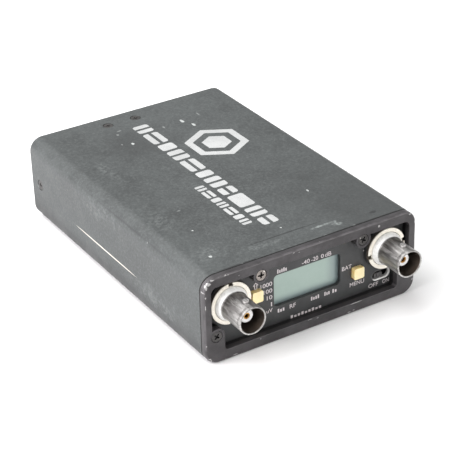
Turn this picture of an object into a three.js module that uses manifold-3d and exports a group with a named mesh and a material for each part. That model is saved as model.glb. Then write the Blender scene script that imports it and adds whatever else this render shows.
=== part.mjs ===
// A pocket-sized wireless microphone receiver with two antenna sockets, as an assembly of its pieces.
// Millimetres, +Z up. The front, with the antenna sockets, faces -Y, and +X is to the right seen from the
// front. The origin is the middle of the case's base, halfway along the case.
import * as THREE from 'three';
import { mergeVertices } from 'three/addons/utils/BufferGeometryUtils.js';
import Module from 'manifold-3d';

const wasm = await Module();
wasm.setup();

// ---- Driving dimensions ----

const caseWidth = 82;
const caseHeight = 31.3;
const caseDepth = 121;
const caseCorner = 5;
const wall = 1.6;
const fitGap = 0.3; // between pieces that meet in the assembly
const seatGap = 0.1; // between flat faces that are clamped together
const midZ = caseHeight / 2;
const frontY = -caseDepth / 2;
const rearY = caseDepth / 2;

const bezelBackY = frontY + 2.4;
const bezelWindow = { halfWidth: 38.3, low: 3.9, high: 27.7, corner: 2 };
const bezelScrews = {
  upper_left: [-19.75, 26.4],
  upper_right: [19.75, 26.4],
  lower_left: [-36.6, 9.7],
  lower_right: [36.6, 9.7],
};

const panelFaceY = frontY + 3.8;
const panelBackY = panelFaceY + 1.3;
const boardFaceY = -50; // of the circuit board behind the front panel
const displayWindow = { x: 0.25, z: 16.1, width: 26, height: 11.7, corner: 1.4 };
const displayFaceY = panelFaceY + 1.6;
const buttonPlaces = { up: [-19.7, 17.2], down: [-19.7, 10.2], menu: [19.9, 12.6] };
const buttonSize = 4;
const buttonFaceY = panelFaceY - 1.5;
const powerSlot = { x: 29.75, z: 8.4, width: 6.5, height: 2.8 };
const antennaX = 30.2;
const antennaZ = 19.2;
const antennaMouthY = frontY - 11.1;

const screwY = 54; // of the screws that hold the sleeve to the rear panel
const deckScrewX = [-12, -0.6];
const sideScrewZ = 15.3;

const rearPlateY = 58; // front face of the rear panel's plate
const ledgeY = 57.5; // rear face of the ledge that the battery door's screw pulls up to
const outputSocket = { x: -24.5, z: midZ };
const powerSocket = { x: -9.4, z: 10.6 };
const doorScrew = { x: 0.8, z: midZ };
const doorHinge = { x: 37.5, y: 59.1 };
const doorFaceY = 60.3;
const batterySize = { width: 16.8, height: 26, length: 48 };
const batteryRearY = 56.6;
const batteryLeftX = [4.4, 21.4];
const batteryBaseZ = 2.8;

// ---- Finishes ----

const finish = (color, roughness, metalness) =>
  new THREE.MeshStandardMaterial({ color, roughness, metalness });
const greyPaint = () => finish(0x4f5453, 0.55, 0.2);
const blackAnodised = () => finish(0x3c3a3d, 0.45, 0.4);
const blackScrew = () => finish(0x242425, 0.4, 0.7);
const blackPlastic = () => finish(0x18181a, 0.5, 0);
const nickel = () => finish(0xb9b2a6, 0.28, 1);
const brightNickel = () => finish(0xd9d4c8, 0.3, 1);
const gold = () => finish(0xd8a040, 0.25, 1);
const whiteInsulator = () => finish(0xf2f1ee, 0.4, 0);
const creamPlastic = () => finish(0xf0cf83, 0.45, 0);
const displayGlass = () => finish(0xa5bcb2, 0.15, 0);
const backlightWhite = () => finish(0xe4e6e2, 0.5, 0);
const circuitBoard = () => finish(0x2c5a3a, 0.6, 0);
const tinPlate = () => finish(0xa9abab, 0.35, 1);
const bareSteel = () => finish(0xb4b6b8, 0.4, 1);
const batteryWrap = () => finish(0x55585a, 0.4, 0.3);
const greyFoam = () => finish(0x4a4a4c, 0.9, 0);

// ---- Shapes ----

const block = (x0, x1, y0, y1, z0, z1) =>
  new THREE.BoxGeometry(x1 - x0, y1 - y0, z1 - z0).translate((x0 + x1) / 2, (y0 + y1) / 2, (z0 + z1) / 2);

// An outline in X and Z, made solid from y0 back to y1.
const slab = (shape, y0, y1, curveSegments = 2) =>
  new THREE.ExtrudeGeometry(shape, { depth: y1 - y0, bevelEnabled: false, curveSegments })
    .rotateX(Math.PI / 2)
    .translate(0, y1, 0);

const rodY = (x, z, radius, y0, y1, sides = 24) =>
  new THREE.CylinderGeometry(radius, radius, y1 - y0, sides).translate(x, (y0 + y1) / 2, z);

const rodZ = (x, y, radius, z0, z1, sides = 16) =>
  new THREE.CylinderGeometry(radius, radius, z1 - z0, sides).rotateX(Math.PI / 2).translate(x, y, (z0 + z1) / 2);

// A piece turned round an axis along Y, from [radius, y] pairs that go anticlockwise round its section.
const turned = (section, x, z, sides = 24) =>
  new THREE.LatheGeometry(section.map(([radius, y]) => new THREE.Vector2(radius, y)), sides).translate(x, 0, z);

const ring = (inner, outer, y0, y1, x, z, sides = 24) =>
  turned([[inner, y0], [outer, y0], [outer, y1], [inner, y1], [inner, y0]], x, z, sides);

function roundedRect(width, height, radius, x = 0, z = midZ) {
  const shape = new THREE.Shape();
  const right = x + width / 2 - radius;
  const left = x - width / 2 + radius;
  const high = z + height / 2 - radius;
  const low = z - height / 2 + radius;
  shape.absarc(right, low, radius, -Math.PI / 2, 0);
  shape.absarc(right, high, radius, 0, Math.PI / 2);
  shape.absarc(left, high, radius, Math.PI / 2, Math.PI);
  shape.absarc(left, low, radius, Math.PI, Math.PI * 1.5);
  shape.closePath();
  return shape;
}

function solidFrom(geometry) {
  const bare = geometry.clone();
  bare.deleteAttribute('normal');
  bare.deleteAttribute('uv');
  const merged = mergeVertices(bare, 1e-4);
  return new wasm.Manifold(
    new wasm.Mesh({
      numProp: 3,
      vertProperties: merged.attributes.position.array,
      triVerts: new Uint32Array(merged.index.array),
    }),
  );
}

// The first geometry with `joins` added, then `cuts` taken away, then only what lies inside `within` kept.
function carve(first, { joins = [], cuts = [], within = null }) {
  let solid = solidFrom(first);
  for (const other of joins) solid = solid.add(solidFrom(other));
  for (const other of cuts) solid = solid.subtract(solidFrom(other));
  if (within) solid = solid.intersect(solidFrom(within));
  const made = solid.getMesh();
  const geometry = new THREE.BufferGeometry();
  geometry.setAttribute('position', new THREE.BufferAttribute(made.vertProperties, 3));
  geometry.setIndex(new THREE.BufferAttribute(made.triVerts, 1));
  geometry.computeVertexNormals();
  return geometry;
}

const receiver = new THREE.Group();

function add(name, geometry, material) {
  const mesh = new THREE.Mesh(geometry, material);
  mesh.name = name;
  receiver.add(mesh);
}

// ---- Case: a seamless sleeve, closed by a bezel in front and a panel and door at the back ----

const boreWidth = caseWidth - 2 * wall;
const boreHeight = caseHeight - 2 * wall;
const boreCorner = caseCorner - wall;
const insetSection = () => roundedRect(boreWidth - 2 * fitGap, boreHeight - 2 * fitGap, boreCorner - fitGap);

// A countersunk screw pointing down -Z, with the middle of its head at the origin, `grow` mm oversize.
function countersunk(grow = 0) {
  const head = 1.8 + grow;
  const shank = 0.8 + grow;
  const length = 4.6 + grow;
  const top = grow > 0 ? 1 : 0;
  const section = [
    [0, -length],
    [shank, -length],
    [shank, -1.2 - grow],
    [head, -0.25 - grow],
    [head, top],
    [0, top],
  ];
  return turned(section, 0, 0, 12).rotateX(Math.PI / 2);
}

const headSink = 0.1;
const sleeveScrews = {
  top_screw_left: (g) => g.translate(deckScrewX[0], screwY, caseHeight - headSink),
  top_screw_right: (g) => g.translate(deckScrewX[1], screwY, caseHeight - headSink),
  base_screw_left: (g) => g.rotateX(Math.PI).translate(deckScrewX[0], screwY, headSink),
  base_screw_right: (g) => g.rotateX(Math.PI).translate(deckScrewX[1], screwY, headSink),
  side_screw: (g) => g.rotateY(-Math.PI / 2).translate(-caseWidth / 2 + headSink, screwY, sideScrewZ),
};
const sleeveScrewHoles = () => Object.values(sleeveScrews).map((put) => put(countersunk(0.2)));

function sleeve() {
  const section = roundedRect(caseWidth, caseHeight, caseCorner);
  section.holes.push(roundedRect(boreWidth, boreHeight, boreCorner));
  return carve(slab(section, bezelBackY + seatGap, rearY), { cuts: sleeveScrewHoles() });
}
add('case_sleeve', sleeve(), greyPaint());
for (const [name, put] of Object.entries(sleeveScrews)) add(name, put(countersunk()), blackScrew());

// The bezel's opening leaves an ear of metal round each of its four screws.
const bezelScrew = { headRadius: 1.9, headDepth: 1.2, shankRadius: 0.8, length: 7.5 };

function bezelOpening() {
  const { halfWidth, low, high, corner } = bezelWindow;
  const earRadius = 2.9;
  const fillet = 1;
  const [earX, earZ] = bezelScrews.lower_right;
  const [lobeX, lobeZ] = bezelScrews.upper_right;
  const earEdge = earX - earRadius;
  const earTurn = Math.acos((halfWidth - earX) / earRadius);
  const lobeTurn = Math.asin((high - lobeZ) / earRadius);
  const quarter = Math.PI / 2;
  const path = new THREE.Path();
  path.absarc(earEdge - fillet, low + fillet, fillet, -quarter, 0);
  path.absarc(earX, earZ, earRadius, Math.PI, earTurn, true);
  path.absarc(halfWidth - corner, high - corner, corner, 0, quarter);
  path.absarc(lobeX, lobeZ, earRadius, lobeTurn, -Math.PI - lobeTurn, true);
  path.absarc(-lobeX, lobeZ, earRadius, lobeTurn, -Math.PI - lobeTurn, true);
  path.absarc(-halfWidth + corner, high - corner, corner, quarter, 2 * quarter);
  path.absarc(-earX, earZ, earRadius, Math.PI - earTurn, 0, true);
  path.absarc(-earEdge + fillet, low + fillet, fillet, 2 * quarter, 3 * quarter);
  path.closePath();
  return path;
}

function bezel() {
  const face = roundedRect(caseWidth, caseHeight, caseCorner);
  const skirt = insetSection();
  face.holes.push(bezelOpening());
  skirt.holes.push(bezelOpening());
  const cuts = Object.values(bezelScrews).flatMap(([x, z]) => [
    rodY(x, z, bezelScrew.headRadius + 0.15, frontY - 1, frontY + bezelScrew.headDepth + 0.2, 16),
    rodY(x, z, bezelScrew.shankRadius + fitGap, frontY, panelFaceY, 12),
  ]);
  const arcSteps = 4;
  return carve(slab(face, frontY, bezelBackY, arcSteps), {
    joins: [slab(skirt, bezelBackY - 0.2, panelFaceY - seatGap, arcSteps)],
    cuts,
  });
}
add('front_bezel', bezel(), blackAnodised());

// A screw with a cross recess, its head flush with the bezel.
function crossRecessScrew(x, z) {
  const { headRadius, headDepth, shankRadius, length } = bezelScrew;
  const faceY = frontY + seatGap;
  const section = [
    [0, faceY],
    [headRadius - 0.3, faceY],
    [headRadius, faceY + 0.3],
    [headRadius, faceY + headDepth],
    [shankRadius, faceY + headDepth],
    [shankRadius, faceY + length],
    [0, faceY + length],
  ];
  const reach = 1.15;
  const blade = 0.3;
  const depth = faceY + 0.8;
  return carve(turned(section, x, z, 16), {
    cuts: [
      block(x - reach, x + reach, faceY - 1, depth, z - blade, z + blade),
      block(x - blade, x + blade, faceY - 1, depth, z - reach, z + reach),
    ],
  });
}
for (const [where, [x, z]] of Object.entries(bezelScrews))
  add(`bezel_screw_${where}`, crossRecessScrew(x, z), blackScrew());

// ---- Front panel, with its display, buttons and power switch ----

const bossRadius = 2.2;
const bossBackY = panelBackY + 4.6;

function frontPanel() {
  const face = insetSection();
  const { x, z, width, height, corner } = displayWindow;
  const clearance = 0.6;
  face.holes.push(roundedRect(width, height, corner, x, z));
  for (const [bx, bz] of Object.values(buttonPlaces))
    face.holes.push(roundedRect(buttonSize + clearance, buttonSize + clearance, 0.7, bx, bz));
  const slotCorner = powerSlot.height / 2 - 0.01;
  face.holes.push(roundedRect(powerSlot.width, powerSlot.height, slotCorner, powerSlot.x, powerSlot.z));
  const places = Object.values(bezelScrews);
  const holeRadius = bezelScrew.shankRadius + fitGap;
  return carve(slab(face, panelFaceY, panelBackY), {
    joins: places.map(([px, pz]) => rodY(px, pz, bossRadius, panelBackY - 0.2, bossBackY, 16)),
    cuts: [
      ...places.map(([px, pz]) => rodY(px, pz, holeRadius, panelFaceY - 1, bossBackY + 1, 12)),
      ...[-antennaX, antennaX].map((ax) => rodY(ax, antennaZ, 6.5, panelFaceY - 1, panelBackY + 1, 24)),
    ],
  });
}
add('front_panel', frontPanel(), blackAnodised());

const glassSize = { width: 30, height: 15 };
const glassBackY = displayFaceY + 1.1;
const displayPane = (margin) =>
  roundedRect(glassSize.width + 2 * margin, glassSize.height + 2 * margin, 0.5, displayWindow.x, displayWindow.z);

function displayFrame() {
  const outline = displayPane(1.1);
  outline.holes.push(displayPane(fitGap));
  return slab(outline, displayFaceY, boardFaceY - seatGap);
}
add('display_glass', slab(displayPane(0), displayFaceY, glassBackY), displayGlass());
add('display_frame', displayFrame(), blackPlastic());
add('display_backlight', slab(displayPane(-0.3), glassBackY + fitGap, boardFaceY - fitGap), backlightWhite());

// Wide behind the display and buttons, with a low wing behind the power switch.
function controlBoard() {
  const backY = boardFaceY + 1.2;
  const wing = block(20, 35.4, boardFaceY, backY, 3.2, 12.4);
  return carve(block(-24.4, 24.4, boardFaceY, backY, 3.2, 28), { joins: [wing] });
}
add('control_board', controlBoard(), circuitBoard());

const buttonFlangeY = panelBackY + fitGap;

function buttonCap(x, z) {
  const cap = slab(roundedRect(buttonSize, buttonSize, 0.5, x, z), buttonFaceY, buttonFlangeY + 0.5);
  const flange = slab(roundedRect(5.5, 5.5, 0.5, x, z), buttonFlangeY, buttonFlangeY + 0.7);
  return carve(cap, { joins: [flange] });
}

function pushSwitch(x, z) {
  const plungerY = buttonFlangeY + 1.5;
  const body = block(x - 2.9, x + 2.9, plungerY + 0.6, boardFaceY - seatGap, z - 2.9, z + 2.9);
  return carve(body, { joins: [rodY(x, z, 1.6, plungerY, plungerY + 1, 16)] });
}
for (const [name, [x, z]] of Object.entries(buttonPlaces)) {
  add(`${name}_button`, buttonCap(x, z), creamPlastic());
  add(`${name}_switch`, pushSwitch(x, z), blackPlastic());
}

const powerTravel = 2.4;
const leverSize = { width: 3.2, height: 2 };

function powerLever() {
  const { x, z } = powerSlot;
  const offX = x - powerTravel / 2;
  const faceY = panelFaceY - 0.2;
  const carrierY = panelBackY + fitGap;
  const knob = slab(roundedRect(leverSize.width, leverSize.height, 0.5, offX, z), faceY, carrierY + 0.4);
  const groove = (at) => block(at - 0.2, at + 0.2, faceY - 1, faceY + 0.35, z - 2, z + 2);
  return carve(knob, {
    joins: [block(offX - 2.5, offX + 2.5, carrierY, carrierY + 0.8, z - 1.7, z + 1.7)],
    cuts: [groove(offX - 0.7), groove(offX + 0.7)],
  });
}
add('power_lever', powerLever(), blackPlastic());
add(
  'power_switch',
  block(powerSlot.x - 4.7, powerSlot.x + 4.6, panelBackY + 1.5, boardFaceY - seatGap, 5.4, 11.2),
  tinPlate(),
);

// ---- Antenna sockets: a bayonet barrel clamped to the panel by a ring nut over a washer ----

const socketRing = { thread: 5.9, bore: 6.05, outer: 7.4, faceY: frontY + 1.3 };
const washerFaceY = panelFaceY - 1.1;

function antennaBody(x) {
  const mouth = antennaMouthY;
  const { thread, faceY } = socketRing;
  const flangeY = panelBackY + seatGap;
  const section = [
    [4.05, mouth],
    [4.65, mouth],
    [4.85, mouth + 0.2],
    [4.85, faceY - 2.1],
    [5.2, faceY - 1.7],
    [thread - 0.25, faceY - 0.4],
    [thread, faceY - 0.1],
    [thread, flangeY],
    [7.5, flangeY],
    [7.5, flangeY + 2.4],
    [5, flangeY + 2.4],
    [5, -47],
    [2.5, -47],
    [2.5, mouth + 8.5],
    [4.05, mouth + 8.5],
    [4.05, mouth],
  ];
  const lugY = mouth + 4;
  const lug = (z0, z1) => rodZ(x, lugY, 1, z0, z1, 12);
  return carve(turned(section, x, antennaZ), {
    joins: [lug(antennaZ + 4.4, antennaZ + 5.6), lug(antennaZ - 5.6, antennaZ - 4.4)],
  });
}

// Two slots in the nut's face take a spanner, and each nut came to rest at its own angle.
function ringNut(x, slotTurn) {
  const { bore, outer, faceY } = socketRing;
  const slot = (turn) =>
    block(bore + 0.2, outer + 1, faceY - 1, faceY + 1, -0.8, 0.8).rotateY(-turn).translate(x, 0, antennaZ);
  return carve(ring(bore, outer, faceY, washerFaceY - seatGap, x, antennaZ), {
    cuts: [slot(slotTurn), slot(slotTurn + Math.PI)],
  });
}

function antennaContact(x) {
  const faceY = antennaMouthY + 3.6;
  const section = [
    [0, faceY + 5],
    [0.75, faceY + 5],
    [0.75, faceY],
    [1.05, faceY],
    [1.05, -43],
    [0, -43],
  ];
  return turned(section, x, antennaZ, 16);
}

const nutSlotTurn = { left: (91 * Math.PI) / 180, right: (11 * Math.PI) / 180 };
for (const [side, x] of [['left', -antennaX], ['right', antennaX]]) {
  add(`${side}_antenna_body`, antennaBody(x), nickel());
  add(`${side}_antenna_nut`, ringNut(x, nutSlotTurn[side]), brightNickel());
  add(
    `${side}_antenna_washer`,
    ring(socketRing.bore, 7.6, washerFaceY, panelFaceY - seatGap, x, antennaZ),
    blackPlastic(),
  );
  add(
    `${side}_antenna_insulator`,
    ring(1.15, 2.3, antennaMouthY + 3.5, -45.5, x, antennaZ, 20),
    whiteInsulator(),
  );
  add(`${side}_antenna_contact`, antennaContact(x), gold());
}

// ---- Inside: the radio board with its shields, and the battery tray ----

const trayFrontY = 4.4;
const trayLeftX = 3.5;
const trayRightX = boreWidth / 2 - fitGap;

function radioBoard() {
  const z0 = 4;
  const z1 = 5.6;
  const wide = block(-38, 38, -44, trayFrontY - 1, z0, z1);
  return carve(wide, { joins: [block(-38, trayLeftX - 0.7, 0, 48, z0, z1)] });
}
add('radio_board', radioBoard(), circuitBoard());

// A folded tin box with an open base.
function shieldCan(x0, x1, y0, y1) {
  const z0 = 5.7;
  const z1 = 17;
  const sheet = 0.5;
  return carve(block(x0, x1, y0, y1, z0, z1), {
    cuts: [block(x0 + sheet, x1 - sheet, y0 + sheet, y1 - sheet, z0 - 1, z1 - sheet)],
  });
}
add('tuner_shield_left', shieldCan(-34, -4, -40, -4), tinPlate());
add('tuner_shield_right', shieldCan(4, 34, -40, -4), tinPlate());
add('audio_shield', shieldCan(-34, -6, 2, 38), tinPlate());

// A tray open above and behind. Two ears at its rear corner hold the battery door's hinge pin.
const trayBaseZ = wall + fitGap;
const trayTopZ = caseHeight - wall - fitGap;
const earHeight = 2.8;
const pinInset = 1.7; // of the hinge pin's ends within the ears
const trayRearY = 57.2;

function batteryTray() {
  const sheet = 0.7;
  const hollowBaseZ = trayBaseZ + sheet;
  const rightWallX = trayRightX - sheet;
  const outer = block(trayLeftX, caseWidth, trayFrontY, trayRearY, 0, caseHeight);
  const hollowCorner = boreCorner - fitGap - sheet;
  const hollow = carve(
    block(trayLeftX + sheet, rightWallX - hollowCorner, trayFrontY + sheet, rearY, hollowBaseZ, caseHeight + 1),
    {
      joins: [
        block(rightWallX - 2 * hollowCorner, rightWallX, trayFrontY + sheet, rearY, hollowBaseZ + hollowCorner, caseHeight + 1),
        rodY(rightWallX - hollowCorner, hollowBaseZ + hollowCorner, hollowCorner, trayFrontY + sheet, rearY, 16),
      ],
    },
  );
  const ear = (z0, z1) => block(doorHinge.x - 1.5, caseWidth, trayRearY - 0.4, rearY - 0.4, z0, z1);
  return carve(carve(outer, { cuts: [hollow] }), {
    joins: [ear(-1, trayBaseZ + earHeight), ear(trayTopZ - earHeight, caseHeight + 1)],
    cuts: [rodZ(doorHinge.x, doorHinge.y, 0.8, trayBaseZ + pinInset - 0.2, trayTopZ - pinInset + 0.2)],
    within: slab(insetSection(), trayFrontY - 1, rearY),
  });
}
add('battery_tray', batteryTray(), blackPlastic());

// A nine-volt block standing on its long edge, its two snap terminals facing forwards.
const terminalSpacing = 12.7;
const terminalLength = 2.5;
const batteryFrontY = batteryRearY - batterySize.length;
const terminalZ = [-1, 1].map((side) => batteryBaseZ + batterySize.height / 2 + (side * terminalSpacing) / 2);

function battery(x0) {
  const { width, height } = batterySize;
  const section = roundedRect(width, height, 2.4, x0 + width / 2, batteryBaseZ + height / 2);
  const shoulderY = batteryFrontY + terminalLength;
  return carve(slab(section, shoulderY, batteryRearY), {
    joins: [
      rodY(x0 + width / 2, terminalZ[0], 2.9, batteryFrontY, shoulderY + 0.2, 16),
      rodY(x0 + width / 2, terminalZ[1], 3.8, batteryFrontY, shoulderY + 0.2, 6),
    ],
  });
}
batteryLeftX.forEach((x0, i) => add(`battery_${i + 1}`, battery(x0), batteryWrap()));

function batteryContacts() {
  const boardY = trayFrontY + 1.1;
  const faceY = batteryFrontY - fitGap;
  const snaps = batteryLeftX.flatMap((x0) =>
    terminalZ.map((z) => rodY(x0 + batterySize.width / 2, z, 3.2, boardY + 1, faceY, 16)),
  );
  return carve(block(4.6, 37.2, boardY, boardY + 1.6, batteryBaseZ + 0.9, 27.6), { joins: snaps });
}
add('battery_contacts', batteryContacts(), circuitBoard());

// ---- Rear panel, with the audio output and power sockets ----

const shellRadius = 9.3;
const shellFlange = { radius: 10.8, lobe: 2.2, y0: 56.2, y1: rearPlateY - fitGap };
const outputScrews = [-1, 1].map((side) => [outputSocket.x + side * 8.5, outputSocket.z + side * 8.5]);
const doorLeftX = -2.5;

// A plate with a ledge under the door's free edge, and a boss for each screw. The blocks run past the sleeve's
// bore and are trimmed to it.
function rearPanel() {
  const stepX = doorLeftX - 0.4;
  const ledgeFrontY = 55.5;
  const bossY = 51.5;
  const bossHalf = 2.2;
  const bossDepth = trayBaseZ + 3.4;
  const deckBosses = deckScrewX.flatMap((x, i) => {
    const backY = i === 0 ? rearPlateY + 0.5 : ledgeY;
    return [
      block(x - bossHalf, x + bossHalf, bossY, backY, caseHeight - bossDepth, caseHeight + 1),
      block(x - bossHalf, x + bossHalf, bossY, backY, -1, bossDepth),
    ];
  });
  return carve(block(-caseWidth, stepX, rearPlateY, rearY + 1, -1, caseHeight + 1), {
    joins: [
      block(stepX - 1.7, stepX, ledgeFrontY, rearPlateY + 0.5, -1, caseHeight + 1),
      block(stepX - 1, trayLeftX - fitGap, ledgeFrontY, ledgeY, -1, caseHeight + 1),
      block(-caseWidth, -35.6, bossY, rearPlateY + 0.5, sideScrewZ - bossHalf, sideScrewZ + bossHalf),
      rodY(doorScrew.x, doorScrew.z, 2.2, bossY, ledgeY - 0.5, 16),
      ...deckBosses,
    ],
    cuts: [
      rodY(outputSocket.x, outputSocket.z, shellRadius + fitGap, 50, rearY + 1, 32),
      rodY(powerSocket.x, powerSocket.z, 4.2, 50, rearY + 1, 20),
      rodY(doorScrew.x, doorScrew.z, 1.2, bossY - 1, ledgeY + 1, 12),
      ...outputScrews.flatMap(([x, z]) => [
        rodY(x, z, 1.2, 50, rearY + 1, 12),
        rodY(x, z, 2.1, rearY - 1.4, rearY + 1, 16),
      ]),
      ...sleeveScrewHoles(),
    ],
    within: slab(insetSection(), bossY - 2, rearY),
  });
}
add('rear_panel', rearPanel(), blackAnodised());

function outputShell() {
  const { x, z } = outputSocket;
  const { radius, lobe, y0, y1 } = shellFlange;
  return carve(ring(8, shellRadius, 44, rearY - seatGap, x, z, 32), {
    joins: [
      ring(8.5, radius, y0, y1, x, z, 32),
      ...outputScrews.map(([sx, sz]) => rodY(sx, sz, lobe, y0, y1, 16)),
    ],
    cuts: outputScrews.map(([sx, sz]) => rodY(sx, sz, 1.2, y0 - 1, y1 + 1, 12)),
  });
}
add('output_shell', outputShell(), nickel());

const pinCircle = 3.8;
const pinAngles = [Math.PI, 0, -Math.PI / 2];
const pinPlaces = pinAngles.map((turn) => [
  outputSocket.x + pinCircle * Math.cos(turn),
  outputSocket.z + pinCircle * Math.sin(turn),
]);

add(
  'output_insert',
  carve(rodY(outputSocket.x, outputSocket.z, 7.6, 43, 46.5, 24), {
    cuts: pinPlaces.map(([x, z]) => rodY(x, z, 1.45, 42, 48, 12)),
  }),
  blackPlastic(),
);
pinPlaces.forEach(([x, z], i) => {
  const section = [[0, 40], [1.2, 40], [1.2, 57.6], [0.7, 58.4], [0, 58.4]];
  add(`output_pin_${i + 1}`, turned(section, x, z, 12), gold());
});
outputScrews.forEach(([x, z], i) => {
  const section = [[0, 54.5], [0.9, 54.5], [0.9, 59.3], [1.85, 59.3], [1.85, 60.2], [1.5, 60.4], [0, 60.4]];
  const slot = block(x - 1.2, x + 1.2, 60, 61, z - 0.25, z + 0.25);
  add(`output_screw_${i + 1}`, carve(turned(section, x, z, 16), { cuts: [slot] }), blackScrew());
});

function powerSocketBody() {
  const section = [
    [0, 46],
    [4.6, 46],
    [4.6, 57.7],
    [3.9, 57.7],
    [3.9, 60],
    [3.7, 60.2],
    [2.9, 60.2],
    [2.9, 50],
    [0, 50],
  ];
  const pinHole = rodY(powerSocket.x, powerSocket.z, 1.35, 45, 51, 12);
  return carve(turned(section, powerSocket.x, powerSocket.z, 24), { cuts: [pinHole] });
}
add('power_socket_body', powerSocketBody(), blackPlastic());
add('power_socket_pin', rodY(powerSocket.x, powerSocket.z, 1.05, 44, 59, 12), nickel());

// ---- Battery door: hinged upright at its outer end, held shut by a thumbscrew ----

function batteryDoor() {
  const innerY = ledgeY + 0.4;
  const [base, top] = [trayBaseZ + 0.4, trayTopZ - 0.4];
  const knuckle = [trayBaseZ + earHeight + fitGap, trayTopZ - earHeight - fitGap];
  const notch = (z0, z1) => block(doorHinge.x - 2, 45, 50, 65, z0, z1);
  const pull = block(12, 26, doorFaceY - 0.8, doorFaceY + 1, midZ - 7, midZ - 5.6);
  return carve(block(doorLeftX, doorHinge.x, innerY, doorFaceY, base, top), {
    joins: [rodZ(doorHinge.x, doorHinge.y, 1.2, knuckle[0], knuckle[1], 20)],
    cuts: [
      notch(0, knuckle[0]),
      notch(knuckle[1], 40),
      rodZ(doorHinge.x, doorHinge.y, 0.8, 0, 40),
      rodY(doorScrew.x, doorScrew.z, 1.6, 50, 65, 16),
      pull,
    ],
  });
}
add('battery_door', batteryDoor(), blackAnodised());
add('door_pad', block(6, 35.5, 57, 57.7, 4.4, 27.2), greyFoam());
add(
  'door_hinge_pin',
  rodZ(doorHinge.x, doorHinge.y, 0.55, trayBaseZ + pinInset, trayTopZ - pinInset, 12),
  bareSteel(),
);

// The head has flutes round its rim and a coin slot.
function thumbscrew() {
  const { x, z } = doorScrew;
  const headRadius = 3.2;
  const headY = doorFaceY + fitGap;
  const tipY = ledgeY + 0.2;
  const faceY = headY + 2.2;
  const section = [
    [0, tipY],
    [1.1, tipY],
    [1.1, headY],
    [headRadius, headY],
    [headRadius, faceY - 0.3],
    [headRadius - 0.3, faceY],
    [0, faceY],
  ];
  const fluteCount = 12;
  const flutes = Array.from({ length: fluteCount }, (_, i) => {
    const turn = (i * 2 * Math.PI) / fluteCount;
    return rodY(x + headRadius * Math.cos(turn), z + headRadius * Math.sin(turn), 0.3, headY - 0.1, faceY + 1, 4);
  });
  const slot = block(x - 4, x + 4, faceY - 0.9, faceY + 1, z - 0.4, z + 0.4);
  return carve(turned(section, x, z), { cuts: [slot, ...flutes] });
}
add('door_thumbscrew', thumbscrew(), nickel());

export default receiver;
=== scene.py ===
import math

import bpy
from mathutils import Matrix, Vector


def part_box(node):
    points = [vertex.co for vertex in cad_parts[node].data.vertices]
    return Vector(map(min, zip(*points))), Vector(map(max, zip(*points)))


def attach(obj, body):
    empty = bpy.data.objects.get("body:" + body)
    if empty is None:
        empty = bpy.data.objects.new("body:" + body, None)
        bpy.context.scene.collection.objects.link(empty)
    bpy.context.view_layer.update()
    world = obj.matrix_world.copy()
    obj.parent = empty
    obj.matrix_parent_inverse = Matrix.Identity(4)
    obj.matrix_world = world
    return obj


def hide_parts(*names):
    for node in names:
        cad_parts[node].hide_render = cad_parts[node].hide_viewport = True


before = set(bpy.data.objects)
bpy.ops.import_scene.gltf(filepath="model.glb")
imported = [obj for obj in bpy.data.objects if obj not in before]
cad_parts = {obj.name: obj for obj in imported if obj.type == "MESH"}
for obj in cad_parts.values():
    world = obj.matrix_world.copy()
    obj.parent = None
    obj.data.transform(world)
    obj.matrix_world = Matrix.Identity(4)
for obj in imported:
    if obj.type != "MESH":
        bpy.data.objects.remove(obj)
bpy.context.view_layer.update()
mm = 0.001

# ---- Camera, floor and lamps ----
# A long lens looks down on the front left corner. The floor is a pale sheet in a white room, with a strong
# soft lamp beyond the left side, a broad one overhead and a weak one in front.

camera_azimuth, camera_elevation, camera_roll = map(math.radians, (-31.0878, 29.1239, -1.7935))
camera_distance = 578.906 * mm
camera_aim = Vector((5.2107, 2.0355, 7.9577)) * mm
camera_turn = (
    Matrix.Rotation(camera_azimuth, 4, "Z")
    @ Matrix.Rotation(math.pi / 2 - camera_elevation, 4, "X")
    @ Matrix.Rotation(camera_roll, 4, "Z")
)
bpy.ops.object.camera_add()
camera = bpy.context.object
camera.matrix_world = (
    Matrix.Translation(camera_aim + camera_turn @ Vector((0, 0, camera_distance))) @ camera_turn
)
camera.data.lens = 130.984
camera.data.sensor_width = 36
camera.data.clip_start = 0.01
bpy.context.scene.camera = camera
bpy.context.scene.view_settings.view_transform = "Standard"

bpy.ops.mesh.primitive_plane_add(size=6, location=(0, 0, -0.02 * mm))
floor = bpy.context.object
floor.name = "floor"
floor_paper = bpy.data.materials.new("floor_paper")
floor_paper.use_nodes = True
floor_paper.node_tree.nodes["Principled BSDF"].inputs["Base Color"].default_value = (0.9, 0.9, 0.9, 1)
floor_paper.node_tree.nodes["Principled BSDF"].inputs["Roughness"].default_value = 0.9
floor.data.materials.append(floor_paper)

lamps = {
    "overhead_lamp": ((-0.35, 0.35, 1.05), 1.0, 12, (1, 1, 1)),
    "left_lamp": ((-1.0, 0.1, 0.55), 0.9, 16.5, (1, 0.97, 0.99)),
    "front_lamp": ((0.4, -1.0, 0.45), 0.7, 4.5, (1, 0.99, 0.97)),
}
for name, (place, size, power, colour) in lamps.items():
    bpy.ops.object.light_add(type="AREA", location=place)
    lamp = bpy.context.object
    lamp.name = name
    lamp.data.size = size
    lamp.data.energy = power
    lamp.data.color = colour
    lamp.rotation_euler = (-Vector(place)).to_track_quat("-Z", "Y").to_euler()

room = bpy.data.worlds.new("white_room")
room.use_nodes = True
room.node_tree.nodes["Background"].inputs["Color"].default_value = (1, 1, 1, 1)
room.node_tree.nodes["Background"].inputs["Strength"].default_value = 0.6
bpy.context.scene.world = room

# ---- Sleeve ----
# A seamless extruded aluminium tube with round corners, painted greenish grey-black and scuffed by years in
# a bag. It slides over the works from behind, and five countersunk screws near its back edge hold it.


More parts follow.
